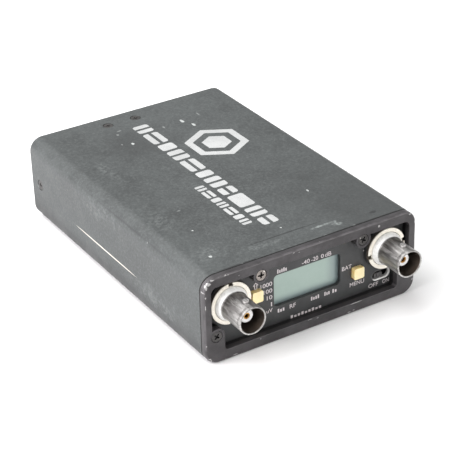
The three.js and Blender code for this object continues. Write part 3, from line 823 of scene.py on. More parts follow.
panel = rounded_block(
    "panel", (-bore_side, panel_y, bore_base), (bore_side, panel_back_y, bore_top), bore_corner
)
for name, middle in screw_places.items():
    start, end = (middle.x, panel_back_y - 0.2, middle.z), (middle.x, panel_high.y, middle.z)
    weld(panel, rod(name + "_post", start, end, 2.2))
    cut(panel, rod(name + "_bore", (middle.x, panel_y - 1, middle.z), (middle.x, -49, middle.z), 1.1))
for name, x, z, width, height, corner in (
    ("display_hole", display_x, display_z, 26, 11.7, display_corner),
    *((name + "_hole", middle.x, middle.z, 4.6, 4.6, 0.7) for name, middle in keys.items()),
    ("power_hole", slot_x, slot_z, 6.5, 2.8, 1.39),
):
    low = (x - width / 2, panel_y - 1, z - height / 2)
    high = (x + width / 2, panel_back_y + 1, z + height / 2)
    cut(panel, rounded_block(name, low, high, corner))
for side in (-1, 1):
    x = side * antenna_x
    cut(panel, rod("antenna_hole", (x, panel_y - 1, antenna_z), (x, panel_back_y + 1, antenna_z), 6.5, 64))


def round_slot(middle, direction):
    """The front edge of the power switch's slot."""
    near = abs(middle.x - slot_x) < 4 and abs(middle.z - slot_z) < 2
    return near and across_end(panel_y)(middle, direction)


round_edges(panel, 0.5, 2, round_slot)
soften(panel, 0.12)
panel_anodised, tree, place, tone = coated(
    "panel_anodised",
    (0.027, 0.028, 0.029),
    (0.042, 0.043, 0.044),
    0.5,
    (0.66, 0.66, 0.66),
    0.06,
    0.004,
    0.2,
)
across = node(tree, "SeparateXYZ", {0: place}).outputs
aside = sum_of(tree, "SUBTRACT", across[0], slot_x * mm)
past_end = sum_of(tree, "MAXIMUM", sum_of(tree, "SUBTRACT", sum_of(tree, "ABSOLUTE", aside), 1.86 * mm), 0.0)
over_middle = sum_of(tree, "SUBTRACT", across[2], slot_z * mm)
flat = node(tree, "CombineXYZ", {0: past_end, 1: over_middle}).outputs[0]
reach = node(tree, "VectorMath", {0: flat}, operation="LENGTH").outputs["Value"]
# A bright metal band on the slot's chamfer, strongest on its lower and right sides: partly worn bare metal,
# partly a painted highlight where light catches the chamfer.
lip_highlight = sum_of(tree, "MULTIPLY", ramp(tree, reach, 1.3 * mm, 1.42 * mm), ramp(tree, reach, 2.0 * mm, 1.8 * mm))
low_or_right = sum_of(tree, "SUBTRACT", sum_of(tree, "MULTIPLY", aside, 0.42), over_middle)
lip_highlight = sum_of(tree, "MULTIPLY", lip_highlight, ramp(tree, low_or_right, -0.6 * mm, 0.5 * mm, 0.12, 1.0))
wire(
    tree,
    Base_Color=over(tree, lip_highlight, tone, (0.80, 0.79, 0.77, 1)),
    Metallic=sum_of(tree, "MULTIPLY", lip_highlight, 0.5),
)
fit(panel, "receiver_case", panel_anodised, "panel_anodised", "front_panel")

# ---- Panel print ----
# Pale ink on the panel: a scale of plain numbers beside the display, the words for the keys and the power
# switch, an arrow, and rows of small ticks.

ink_y = panel_y - 0.015


def letters(text, x0, x1, z, height=1.5):
    """Words or numbers drawn between two ends on the panel, about a middle height."""
    bpy.ops.object.select_all(action="DESELECT")
    bpy.ops.object.text_add()
    bpy.context.object.data.body = text
    bpy.context.object.data.extrude = 0.01
    bpy.context.object.data.offset = 0.006
    bpy.ops.object.convert(target="MESH")
    piece = bpy.context.object
    lows = [min(point.co[i] for point in piece.data.vertices) for i in (0, 1)]
    highs = [max(point.co[i] for point in piece.data.vertices) for i in (0, 1)]
    wide, tall = (x1 - x0) / (highs[0] - lows[0]), height / (highs[1] - lows[1])
    centred = Matrix.Translation((-(lows[0] + highs[0]) / 2, -(lows[1] + highs[1]) / 2, 0))
    sized = Matrix.Diagonal((wide * mm, tall * mm, mm, 1))
    stood = Matrix.Rotation(math.radians(90), 4, "X")
    moved = Matrix.Translation(Vector(((x0 + x1) / 2, ink_y, z)) * mm)
    piece.data.transform(moved @ stood @ sized @ centred)
    return piece


def ticks(x0, x1, z, count, height=1.2):
    """A row of small upright ticks."""
    pitch = (x1 - x0) / count
    for i in range(count):
        left, foot = x0 + i * pitch, z - height / 2
        tall = height * (1.0, 0.72, 0.85)[i % 3]
        yield block("tick", (left, ink_y - 0.01, foot), (left + pitch * 0.62, ink_y + 0.01, foot + tall))


words = [
    letters("1000", -17.8, -13.4, 19.6),
    letters("100", -16.7, -13.4, 17.1),
    letters("10", -15.5, -13.4, 14.6),
    letters("1", -13.95, -13.55, 11.9),
    letters("uV", -15.7, -13.4, 9.7, 1.4),
    letters("-40", -1.9, 1.1, 23.2),
    letters("-20", 1.75, 4.4, 23.2),
    letters("0", 5.5, 6.6, 23.2),
    letters("dB", 7.1, 9.6, 23.2),
    letters("MENU", 17.1, 22.9, 8.3),
    letters("OFF", 24.75, 28.75, 5.2),
    letters("ON", 30.5, 33.2, 5.2),
    letters("BAT", 13.9, 17.75, 15.5),
    letters("RF", -6.75, -4.4, 8.5),
]
small = [
    *ticks(-11.4, -7.5, 23.2, 5, 1.5),
    *ticks(-11.4, -8.5, 8.5, 3, 1.4),
    *ticks(1.6, 5.1, 8.5, 4, 1.4),
    *ticks(6.9, 9.25, 8.5, 3, 1.4),
    *ticks(10.1, 12.1, 8.5, 2, 1.4),
    *ticks(-6.4, 6.1, 4.25, 9, 1.3),
]
dot = rod("dot", (22.6, ink_y - 0.01, 19.75), (22.6, ink_y + 0.01, 19.75), 0.25, 12)
arrow_points = [(-0.55, -1.3), (0.55, -1.3), (0.55, 0.05), (1.1, 0.05), (0, 1.3), (-1.1, 0.05), (-0.55, 0.05)]
bpy.ops.object.select_all(action="DESELECT")
bpy.ops.mesh.primitive_circle_add(vertices=len(arrow_points), fill_type="NGON")
arrow = bpy.context.object
for point, (x, z) in zip(arrow.data.vertices, reversed(arrow_points)):
    point.co = Vector((x - 19.6, ink_y, z + 20.7)) * mm
choose(arrow, "FACE", lambda middle, direction: True)
bpy.ops.mesh.inset(thickness=0.28 * mm)
bpy.ops.mesh.delete(type="FACE")
bpy.ops.object.mode_set(mode="OBJECT")
apply_to(arrow, "SOLIDIFY", thickness=0.02 * mm, offset=0)
panel_print = joined([arrow, dot, *words, *small])
panel_print.name = panel_print.data.name = "panel_print"
fit(panel_print, "receiver_case", ink("pale_ink", (0.62, 0.57, 0.58), (0.06, 0.06, 0.06), 0.68), None)

# ---- Display ----
# A reflective liquid crystal display behind the panel: a pale green glass in a black plastic frame, with a
# white light panel behind it. It is switched off, so no segments show.

glass_low, glass_high = measure("display_glass")
display_glass = block("display_glass_piece", glass_low, glass_high)
round_edges(display_glass, 0.5, 4, lengthwise)
soften(display_glass, 0.15)
lcd, tree, place = new_finish("display_glass")
skin = use(tree, grain, Place=place, Grain_Scale=1800.0, Cloud_Scale=70.0)
across = node(tree, "SeparateXYZ", {0: place}).outputs
# The glass is painted darker and bluer towards its right end and lower edge: painted shade from the edges of
# the window.
right_shade = ramp(tree, across[0], 0.0075, 0.0135)
low_shade = ramp(tree, across[2], 0.0135, 0.0098)
shade = either(tree, right_shade, low_shade)
tone = over(tree, skin["Cloud"], (0.285, 0.375, 0.335, 1), (0.31, 0.40, 0.36, 1))
tone = over(tree, shade, tone, (0.185, 0.235, 0.24, 1))
wire(
    tree,
    Base_Color=tone,
    Roughness=ramp(tree, skin["Speckle"], 0.0, 1.0, 0.2, 0.26),
    Normal=bump(tree, skin["Height"], 0.002),
    Coat_Weight=0.4,
    Coat_Roughness=0.12,
)
fit(display_glass, "receiver_case", lcd, "display_glass", "display_glass")


def moulded(name, dark, light, roughness, depth=0.01, cloud=90.0):
    """Moulded plastic with a fine spark-eroded grain and rubbed lighter on its edges."""
    made, tree, place = new_finish(name)
    skin = use(tree, grain, Place=place, Grain_Scale=3600.0, Cloud_Scale=cloud)
    edge = use(tree, edge_wear, Place=place, Edge_Amount=0.2, Chip_Amount=0.0)["Edge"]
    tone = over(tree, skin["Cloud"], (*dark, 1), (*light, 1))
    rubbed = [min(1, level * 1.5 + 0.02) for level in light]
    tone = over(tree, sum_of(tree, "MULTIPLY", edge, 0.25), tone, (*rubbed, 1))
    wire(
        tree,
        Base_Color=tone,
        Roughness=ramp(tree, skin["Speckle"], 0.0, 1.0, roughness - 0.06, roughness + 0.06),
        Normal=bump(tree, skin["Height"], depth),
    )
    return made


def refinish(finish, *nodes):
    """Gives CAD nodes that stay a better material."""
    for name in nodes:
        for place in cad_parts[name].material_slots:
            place.material = finish


black_plastic = moulded("black_plastic", (0.010, 0.010, 0.011), (0.018, 0.018, 0.019), 0.5)
white_plastic = moulded("white_plastic", (0.68, 0.69, 0.66), (0.78, 0.79, 0.76), 0.5)
refinish(black_plastic, "display_frame", "up_switch", "down_switch", "menu_switch")
refinish(white_plastic, "display_backlight")

# ---- Keys ----
# Three square keys moulded in cream plastic, glossy and a little translucent. Their sides are painted a
# warmer amber than their faces, painted light standing in for light passing through the plastic. A flange
# behind the panel keeps each one in, and its face is slightly dished.

key_low, key_high = measure("menu_button")
key_half, key_face_y = 2.0, key_low.y
key_plastic, tree, place = new_finish("button_plastic")
skin = use(tree, grain, Place=place, Grain_Scale=2600.0, Cloud_Scale=320.0)
toward = node(tree, "SeparateXYZ", {0: node(tree, "NewGeometry").outputs["True Normal"]}).outputs[1]
# Faces cream, sides painted warmer amber: painted light through the plastic.
face_mask = ramp(tree, toward, -0.25, -0.75)
side_tone = over(tree, skin["Cloud"], (1.0, 0.74, 0.33, 1), (1.0, 0.84, 0.45, 1))
face_tone = over(tree, skin["Cloud"], (0.95, 0.78, 0.43, 1), (0.97, 0.83, 0.51, 1))
grime_and_seam_shade = ramp(tree, noise(tree, place, 500.0, 4, 0.6), 0.60, 0.75)
tone = over(tree, face_mask, side_tone, face_tone)
wire(
    tree,
    Base_Color=over(tree, sum_of(tree, "MULTIPLY", grime_and_seam_shade, 0.3), tone, (0.55, 0.40, 0.20, 1)),
    Roughness=ramp(tree, skin["Speckle"], 0.0, 1.0, 0.32, 0.42),
    Normal=bump(tree, skin["Height"], 0.008),
    Subsurface_Weight=0.25,
    Subsurface_Radius=(0.0015, 0.0009, 0.0003),
    Subsurface_Scale=1.0,
)
for name, middle in keys.items():
    low = (middle.x - key_half, key_face_y, middle.z - key_half)
    high = (middle.x + key_half, key_high.y - 0.2, middle.z + key_half)
    key = rounded_block(name + "_key", low, high, 0.5, 5)
    choose(key, "FACE", lambda middle, normal: normal.y < -0.99)
    bpy.ops.mesh.inset(thickness=0.7 * mm)
    bpy.ops.transform.translate(value=(0, 0.06 * mm, 0))
    bpy.ops.object.mode_set(mode="OBJECT")
    flange_low = (middle.x - 2.75, key_high.y - 0.7, middle.z - 2.75)
    flange_high = (middle.x + 2.75, key_high.y, middle.z + 2.75)
    weld(key, rounded_block(name + "_flange", flange_low, flange_high, 0.5, 5))
    soften(key, 0.42, 4)
    fit(key, name + "_key", key_plastic, "button_plastic", name + "_button")

# ---- Power switch ----
# A slide switch in a tin-plated case behind the panel. Its dark grey knob has two grooves for the finger,
# and the carrier it is moulded on closes most of the slot behind it at both ends of its travel.

lever_low, lever_high = measure("power_lever")
lever_x, lever_z = (lever_low.x + lever_high.x) / 2, (lever_low.z + lever_high.z) / 2
lever_face_y = lever_low.y
lever = rounded_block(
    "lever",
    (lever_x - 1.6, lever_face_y, lever_z - 1),
    (lever_x + 1.6, lever_high.y - 0.4, lever_z + 1),
    0.5,
    5,
)
for shift in (-0.7, 0.7):
    x = lever_x + shift
    low, high = (x - 0.2, lever_face_y - 1, lever_z - 2), (x + 0.2, lever_face_y + 0.35, lever_z + 2)
    cut(lever, block("lever_groove", low, high))
weld(lever, block("lever_carrier", (lever_low.x, lever_high.y - 0.8, lever_low.z), lever_high))
soften(lever, 0.1)
lever_plastic = moulded("lever_plastic", (0.055, 0.053, 0.053), (0.09, 0.087, 0.086), 0.42)
fit(lever, "power_slider", lever_plastic, "lever_plastic", "power_lever")

# ---- Antenna sockets ----
# Two bayonet sockets for the antennas, turned from brass and nickel plated. A ring nut clamps each to the
# panel over a black washer, and a white insulator holds the gold-plated contact in the middle.


def turned(name, section, sides=96):
    """Spins a closed section of (radius, y) points, in millimetres, about the Y axis."""
    bpy.ops.object.select_all(action="DESELECT")
    radius, y = section[0]
    bpy.ops.mesh.primitive_plane_add(size=mm, location=(radius * mm, y * mm, 0))
    bpy.ops.object.transform_apply(location=True, rotation=True, scale=True)
    piece = bpy.context.object
    piece.name = piece.data.name = name
    bpy.ops.object.mode_set(mode="EDIT")
    bpy.ops.mesh.select_mode(type="VERT")
    bpy.ops.mesh.select_all(action="SELECT")
    bpy.ops.mesh.merge(type="CENTER")
    for next_radius, next_y in section[1:] + section[:1]:
        step = Vector((next_radius - radius, next_y - y, 0)) * mm
        bpy.ops.mesh.extrude_region_move(TRANSFORM_OT_translate={"value": step})
        radius, y = next_radius, next_y
    bpy.ops.mesh.select_all(action="SELECT")
    bpy.ops.mesh.spin(steps=sides, angle=2 * math.pi, center=(0, 0, 0), axis=(0, 1, 0))
    bpy.ops.mesh.select_all(action="SELECT")
    bpy.ops.mesh.remove_doubles(threshold=0.001 * mm)
    bpy.ops.mesh.normals_make_consistent(inside=False)
    bpy.ops.object.mode_set(mode="OBJECT")
    return piece


def plated(name, dark, light, roughness, lengthways, blotch, tarnish=(0.10, 0.08, 0.06), metallic=1.0):
    """Bright metal with fine scratches along the piece, cloudy handling marks and tarnish in patches."""
    made, tree, place = new_finish(name)
    drawn = node(tree, "Mapping", {"Vector": place, "Scale": (1, lengthways, 1)}).outputs[0]
    streaks = noise(tree, drawn, 1500.0, 4, 0.75)
    cloud = noise(tree, drawn, 420.0, 4, 0.6)
    spots = noise(tree, place, 1500.0, 4, 0.7)
    tone = over(tree, ramp(tree, streaks, 0.32, 0.68), (*dark, 1), (*light, 1))
    stained = sum_of(tree, "MULTIPLY", ramp(tree, cloud, 0.46, 0.70), blotch)
    tone = over(tree, stained, tone, (*tarnish, 1))
    spotted = sum_of(tree, "MULTIPLY", ramp(tree, spots, 0.64, 0.74), blotch * 0.6)
    tone = over(tree, spotted, tone, (*tarnish, 1))
    brushed = ramp(tree, streaks, 0.3, 0.7, roughness - 0.07, roughness + 0.09)
    rough = sum_of(tree, "MULTIPLY_ADD", stained, 0.25, brushed)
    wire(tree, Base_Color=tone, Metallic=metallic, Roughness=rough, Normal=bump(tree, streaks, 0.006))
    return made, tree, place, tone


mouth_y = antenna_low.y
nut_low, nut_high = measure("right_antenna_nut")


def from_socket_axis(tree, place):
    """Distance from a socket's own axis, then where along it and how far above it."""
    parts = node(tree, "SeparateXYZ", {0: place}).outputs
    beside = sum_of(tree, "SUBTRACT", sum_of(tree, "ABSOLUTE", parts[0]), antenna_x * mm)
    above = sum_of(tree, "SUBTRACT", parts[2], antenna_z * mm)
    flat = node(tree, "CombineXYZ", {0: beside, 1: above}).outputs[0]
    return node(tree, "VectorMath", {0: flat}, operation="LENGTH").outputs["Value"], parts[1], above


# The nuts are a near-white, mostly matte nickel, a painted reflection of the bright room; their side walls
# are painted dark brown, painted shade.
bright_nickel, tree, place, tone = plated(
    "bright_nickel", (0.84, 0.79, 0.69), (0.94, 0.90, 0.81), 0.42, 1.0, 0.1, (0.4, 0.35, 0.27), 0.2
)
radius, along, above = from_socket_axis(tree, place)
nut_side_shade = ramp(tree, along, (nut_low.y + 0.25) * mm, (nut_low.y + 0.5) * mm, 0.0, 0.95)
wire(tree, Base_Color=over(tree, nut_side_shade, tone, (0.045, 0.035, 0.022, 1)))
nickel, tree, place, tone = plated("nickel", (0.30, 0.29, 0.28), (0.72, 0.71, 0.69), 0.4, 0.08, 0.35)
radius, along, above = from_socket_axis(tree, place)
# Inside the bore the nickel is painted dark brown: partly dark tarnished metal, partly painted shade in the
# hollow.
deep = ramp(tree, along, (mouth_y + 0.08) * mm, (mouth_y + 0.3) * mm)
bore_tarnish_and_shade = sum_of(tree, "MULTIPLY", ramp(tree, radius, 4.5 * mm, 4.4 * mm), deep)
in_front = ramp(tree, along, -44 * mm, -45 * mm)
bore_tarnish_and_shade = sum_of(tree, "MULTIPLY", bore_tarnish_and_shade, in_front)
# Dark tarnish over the barrel in streaky patches, heavier towards the nut, and painted darker on top as
# painted shade.
near_nut = ramp(tree, along, (mouth_y + 0.5) * mm, (mouth_y + 9.8) * mm, 0.6, 1.0)
on_barrel = sum_of(tree, "MULTIPLY", ramp(tree, radius, 5.3 * mm, 4.95 * mm), near_nut)
handled = node(tree, "Mapping", {"Vector": place, "Scale": (1, 0.25, 1)}).outputs[0]
stains = ramp(tree, noise(tree, handled, 700.0, 4, 0.65), 0.34, 0.6, 0.55, 0.97)
on_barrel = sum_of(tree, "MULTIPLY", on_barrel, stains)
on_barrel = sum_of(tree, "MULTIPLY", on_barrel, ramp(tree, above, -2.0 * mm, 2.5 * mm, 0.2, 1.0))
on_barrel = sum_of(tree, "MULTIPLY", on_barrel, in_front)
tone = over(tree, on_barrel, tone, (0.085, 0.08, 0.077, 1))
# The cone at the foot of the barrel is painted near white and made almost matte: a painted highlight for the
# plated cone's bright reflection.
cone_starts = ramp(tree, along, (nut_low.y - 2.6) * mm, (nut_low.y - 2.2) * mm)
behind_barrel = sum_of(tree, "MULTIPLY", cone_starts, in_front)
on_cone = sum_of(tree, "MULTIPLY", ramp(tree, radius, 4.95 * mm, 5.2 * mm), behind_barrel)
cone_highlight = ramp(tree, noise(tree, place, 900.0, 3, 0.6), 0.36, 0.56, 0.74, 0.96)
tone = over(tree, sum_of(tree, "MULTIPLY", on_cone, cone_highlight), tone, (0.98, 0.98, 0.96, 1))
wire(
    tree,
    Base_Color=over(tree, bore_tarnish_and_shade, tone, (0.11, 0.088, 0.072, 1)),
    Metallic=sum_of(tree, "MULTIPLY_ADD", on_cone, -0.68, 0.85),
)
gold, tree, place, tone = plated(
    "gold", (0.75, 0.40, 0.10), (0.92, 0.56, 0.18), 0.3, 0.3, 0.15, (0.3, 0.15, 0.05)
)
radius, along, above = from_socket_axis(tree, place)
# The contact's bore is painted almost black, painted shade in the hollow.
contact_bore_shade = ramp(tree, along, (mouth_y + 3.7) * mm, (mouth_y + 4.6) * mm, 0.0, 0.95)
contact_bore_shade = sum_of(tree, "MULTIPLY", contact_bore_shade, ramp(tree, radius, 0.9 * mm, 0.8 * mm))
wire(tree, Base_Color=over(tree, contact_bore_shade, tone, (0.01, 0.007, 0.004, 1)))
white_insulator = moulded("white_insulator", (0.97, 0.97, 0.97), (1.0, 1.0, 1.0), 0.42)
washer_low, washer_high = measure("right_antenna_washer")
insulator_low, insulator_high = measure("right_antenna_insulator")
contact_low, contact_high = measure("right_antenna_contact")
nut_face_y, thread, nut_bore = nut_low.y, 5.9, 6.05
flange_y = panel_back_y + 0.1

barrel = turned(
    "first_barrel",
    [
        (4.05, mouth_y + 0.7),
        (4.36, mouth_y + 0.08),
        (4.44, mouth_y),
        (4.70, mouth_y),
        (4.82, mouth_y + 0.12),
        (4.85, mouth_y + 0.3),
        (4.85, mouth_y + 1.5),
        (4.80, mouth_y + 1.6),
        (4.80, nut_face_y - 2.35),
        (4.85, nut_face_y - 2.1),
        (5.0, nut_face_y - 1.85),
        (5.25, nut_face_y - 1.6),
        (thread - 0.22, nut_face_y - 0.45),
        (thread - 0.05, nut_face_y - 0.3),
        (thread, nut_face_y - 0.1),
        (thread, flange_y),
        (7.5, flange_y),
        (7.5, antenna_high.y - 5.9),
        (5, antenna_high.y - 5.9),
        (5, antenna_high.y),
        (2.5, antenna_high.y),
        (2.5, mouth_y + 8.5),
        (4.05, mouth_y + 8.5),
    ],
)
for side in (-1, 1):
    lug = rod("lug", (0, mouth_y + 4, side * 4.4), (0, mouth_y + 4, side * 5.6), 1.0, 32)
    weld(barrel, lug)
soften(barrel, 0.07)
nut = turned(
    "first_nut",
    [
        (nut_bore, nut_face_y + 0.1),
        (nut_bore + 0.08, nut_face_y),
        (7.28, nut_face_y),
        (7.4, nut_face_y + 0.12),
        (7.4, nut_high.y),
        (nut_bore, nut_high.y),
    ],
)
for side in (-1, 1):
    inner, outer = sorted((side * (nut_bore + 0.25), side * 8.5))
    cut(nut, block("nut_slot", (inner, nut_face_y - 1, -0.8), (outer, nut_face_y + 1, 0.8)))
soften(nut, 0.06)
washer = turned(
    "first_washer",
    [(nut_bore, washer_low.y), (7.6, washer_low.y), (7.6, washer_high.y), (nut_bore, washer_high.y)],
)
soften(washer, 0.1)
insulator = turned(
    "first_insulator",
    [
        (1.15, insulator_low.y + 0.06),
        (1.2, insulator_low.y),
        (2.05, insulator_low.y),
        (2.23, insulator_low.y + 0.1),
        (2.3, insulator_low.y + 0.3),
        (2.3, insulator_high.y),
        (1.15, insulator_high.y),
    ],
    64,
)
soften(insulator, 0.04)
contact = turned(
    "first_contact",
    [
        (0.001, contact_low.y + 5),
        (0.75, contact_low.y + 5),
        (0.75, contact_low.y + 0.1),
        (0.8, contact_low.y),
        (0.95, contact_low.y),
        (1.05, contact_low.y + 0.1),
        (1.05, contact_high.y),
        (0.001, contact_high.y),
    ],
    48,
)
for tall, wide in ((1.5, 0.06), (0.06, 1.5)):
    cut(contact, block("contact_slit", (-wide, contact_low.y - 1, -tall), (wide, contact_low.y + 2.6, tall)))
soften(contact, 0.03)

nut_turns = {"left": 91, "right": 11}
socket_pieces = {
    "body": (barrel, nickel, "nickel"),
    "nut": (nut, bright_nickel, "bright_nickel"),
    "washer": (washer, black_plastic, "black_plastic"),
    "insulator": (insulator, white_insulator, "white_insulator"),
    "contact": (contact, gold, "gold"),
}
for side, x in (("left", -antenna_x), ("right", antenna_x)):
    for part, (first, finish, slot) in socket_pieces.items():
        turn = -math.radians(nut_turns[side]) if part == "nut" else 0
        matrix = Matrix.Translation((x, 0, antenna_z)) @ Matrix.Rotation(turn, 4, "Y")
        piece = put(copy_of(first, f"{side}_{part}_piece"), matrix)
        fit(piece, "receiver_case", finish, slot, f"{side}_antenna_{part}")
for first, finish, slot in socket_pieces.values():
    bpy.data.objects.remove(first)

# ---- Rear panel ----
# A black anodised plate that closes the left half of the case's back, with a ledge under the battery door's
# free edge. Bosses at its edges take the sleeve's screws.

rear_low, rear_high = measure("rear_panel")
door_low, door_high = measure("battery_door")
shell_low, shell_high = measure("output_shell")
power_low, power_high = measure("power_socket_body")
door_screw_low, door_screw_high = measure("door_thumbscrew")
plate_y, ledge_y = 58.0, 57.5
step_x = door_low.x - 0.4
output_x, output_z = -24.5, (case_top / 2)
power_x, power_z = (power_low.x + power_high.x) / 2, (power_low.z + power_high.z) / 2
knob_x, knob_z = (door_screw_low.x + door_screw_high.x) / 2, case_top / 2
boss_y, boss_half, boss_depth = rear_low.y, 2.2, bore_base + 3.4
side_z = sleeve_screws["side_screw"].translation.z

rear = block("rear", (-60, plate_y, -5), (step_x, rear_high.y + 1, case_top + 5))
weld(rear, block("rear_step", (step_x - 1.7, ledge_y - 2, -5), (step_x, plate_y + 0.5, case_top + 5)))
weld(rear, block("rear_ledge", (step_x - 1, ledge_y - 2, -5), (rear_high.x, ledge_y, case_top + 5)))
weld(rear, block("side_boss", (-60, boss_y, side_z - boss_half), (-35.6, plate_y + 0.5, side_z + boss_half)))
weld(rear, rod("knob_boss", (knob_x, boss_y, knob_z), (knob_x, ledge_y - 0.5, knob_z), 2.2))
for name, back_y in (("left", plate_y + 0.5), ("right", ledge_y)):
    x = sleeve_screws["top_screw_" + name].translation.x
    for low_z, high_z in ((-5, boss_depth), (case_top - boss_depth, case_top + 5)):
        weld(rear, block("deck_boss", (x - boss_half, boss_y, low_z), (x + boss_half, back_y, high_z)))
rear_bore = rounded_block(
    "rear_bore", (-bore_side, boss_y - 1, bore_base), (bore_side, rear_high.y, bore_top), bore_corner
)
cut(rear, rear_bore, operation="INTERSECT")
shell_radius = 9.3
output_screws = [(output_x + side * 8.5, output_z + side * 8.5) for side in (-1, 1)]
for name, x, z, start_y, radius in (
    ("output_hole", output_x, output_z, 50, shell_radius + fit_gap),
    ("power_hole", power_x, power_z, 50, 4.2),
    ("knob_hole", knob_x, knob_z, 50, 1.2),
    *(("output_screw_hole", x, z, 50, 1.2) for x, z in output_screws),
    *(("output_screw_sink", x, z, rear_high.y - 1.4, 2.1) for x, z in output_screws),
):
    cut(rear, rod(name, (x, start_y, z), (x, 70, z), radius))
for name, matrix in sleeve_screws.items():
    cut(rear, put(countersunk(name + "_thread", 0.2), matrix))
soften(rear, 0.15)
fit(rear, "receiver_case", black_anodised, "panel_anodised", "rear_panel")

# ---- Audio output ----
# A three-pin output socket. Its nickel-plated shell is fixed behind the plate by two screws in its lobes,
# and gold pins stand in a black insert deep inside it.

shell_y0, shell_y1 = 56.2, plate_y - fit_gap
shell = turned(
    "shell",
    [
        (8.0, shell_high.y - 0.35),
        (8.35, shell_high.y),
        (9.1, shell_high.y),
        (shell_radius, shell_high.y - 0.2),
        (shell_radius, shell_y1),
        (10.8, shell_y1),
        (10.8, shell_y0),
        (shell_radius, shell_y0),
        (shell_radius, shell_low.y),
        (8.0, shell_low.y),
    ],
)
put(shell, Matrix.Translation((output_x, 0, output_z)))
for x, z in output_screws:
    weld(shell, rod("lobe", (x, shell_y0, z), (x, shell_y1, z), 2.2))
for x, z in output_screws:
    cut(shell, rod("lobe_hole", (x, shell_y0 - 1, z), (x, shell_y1 + 1, z), 1.2))
soften(shell, 0.08)
fit(shell, "receiver_case", nickel, "nickel", "output_shell")

insert_low, insert_high = measure("output_insert")
insert = rod("insert", (output_x, insert_low.y, output_z), (output_x, insert_high.y, output_z), 7.6, 64)
choose(insert, "FACE", lambda middle, normal: normal.y > 0.99)
bpy.ops.mesh.inset(thickness=1.1 * mm)
bpy.ops.transform.translate(value=(0, -0.5 * mm, 0))
bpy.ops.object.mode_set(mode="OBJECT")
pins = {}
for name in ("output_pin_1", "output_pin_2", "output_pin_3"):
    low, high = measure(name)
    pins[name] = (low + high) / 2
    x, z = pins[name].x, pins[name].z
    cut(insert, rod(name + "_bore", (x, 40, z), (x, 50, z), 1.45, 32))
soften(insert, 0.12)
fit(insert, "receiver_case", black_plastic, "black_plastic", "output_insert")
first_pin = turned(
    "first_pin",
    [
        (0.001, low.y),
        (1.2, low.y),
        (1.2, high.y - 0.8),
        (1.05, high.y - 0.35),
        (0.6, high.y),
        (0.001, high.y),
    ],
    32,
)
soften(first_pin, 0.05)
for name, middle in pins.items():
    pin = put(copy_of(first_pin, name + "_piece"), Matrix.Translation((middle.x, 0, middle.z)))
    fit(pin, "receiver_case", gold, "gold", name)
bpy.data.objects.remove(first_pin)

small_low, small_high = measure("output_screw_1")
first_screw = rod("first_output_screw", (0, 59.3, 0), (0, small_high.y, 0), 1.85)
weld(first_screw, rod("first_output_shank", (0, small_low.y, 0), (0, 59.5, 0), 0.9))
cut(first_screw, block("coin_slot", (-1.3, small_high.y - 0.4, -0.25), (1.3, 61, 0.25)))
soften(first_screw, 0.15, 3)
for i, (x, z) in enumerate(output_screws):
    matrix = Matrix.Translation((x, 0, z)) @ Matrix.Rotation(math.radians(25 + 95 * i), 4, "Y")
    screw = put(copy_of(first_screw, f"output_screw_{i + 1}_piece"), matrix)
    fit(screw, "receiver_case", black_screw, "black_screw", f"output_screw_{i + 1}")
bpy.data.objects.remove(first_screw)

# ---- Power socket ----
# A round socket for outside power, moulded in black plastic, with a nickel-plated pin in its bore. A collar
# behind the plate keeps it from pulling out.

socket = turned(
    "power_socket",
    [
        (0.001, power_low.y),
        (4.6, power_low.y),
        (4.6, shell_y1),
        (3.9, shell_y1),
        (3.9, power_high.y - 0.25),
        (3.65, power_high.y),
        (3.1, power_high.y),
        (2.9, power_high.y - 0.2),
        (2.9, 50),
        (0.001, 50),
    ],
    64,
)
put(socket, Matrix.Translation((power_x, 0, power_z)))
cut(socket, rod("pin_hole", (power_x, 45, power_z), (power_x, 51, power_z), 1.35, 32))
soften(socket, 0.06)
fit(socket, "receiver_case", black_plastic, "black_plastic", "power_socket_body")
pin_low, pin_high = measure("power_socket_pin")
pin = turned(
    "power_pin",
    [(0.001, pin_low.y), (1.05, pin_low.y), (1.05, pin_high.y - 0.5), (0.6, pin_high.y), (0.001, pin_high.y)],
    32,
)
put(pin, Matrix.Translation((power_x, 0, power_z)))
soften(pin, 0.05)
fit(pin, "receiver_case", nickel, "nickel", "power_socket_pin")

# ---- Battery door ----
# An anodised aluminium door over the batteries, hinged on a steel pin at its outer end. It has a groove to
# pull it by, and a grey foam pad glued inside it holds the batteries still.

hinge_low, hinge_high = measure("door_hinge_pin")
hinge_x, hinge_y = (hinge_low.x + hinge_high.x) / 2, (hinge_low.y + hinge_high.y) / 2
knuckle_base, knuckle_top = bore_base + 3.1, bore_top - 3.1
door = block("door", door_low, (hinge_x, 60.3, door_high.z))
weld(door, rod("knuckle", (hinge_x, hinge_y, knuckle_base), (hinge_x, hinge_y, knuckle_top), 1.2))
cut(
    door,
    block("lower_notch", (hinge_x - 2, 50, 0), (45, 65, knuckle_base)),
    block("upper_notch", (hinge_x - 2, 50, knuckle_top), (45, 65, 40)),
    rod("hinge_hole", (hinge_x, hinge_y, 0), (hinge_x, hinge_y, 40), 0.8, 32),
    rod("knob_clearance", (knob_x, 50, knob_z), (knob_x, 65, knob_z), 1.6),
    block("finger_pull", (12, 59.5, knob_z - 7), (26, 62, knob_z - 5.6)),
)
soften(door, 0.18)
fit(door, "battery_hatch", black_anodised, "black_anodised", "battery_door")

steel = plated("bare_steel", (0.40, 0.40, 0.41), (0.62, 0.62, 0.63), 0.38, 1.0, 0.3)[0]
hinge_pin = rod("hinge_pin", (hinge_x, hinge_y, hinge_low.z), (hinge_x, hinge_y, hinge_high.z), 0.55, 32)
soften(hinge_pin, 0.12)
fit(hinge_pin, "receiver_case", steel, "bare_steel", "door_hinge_pin")

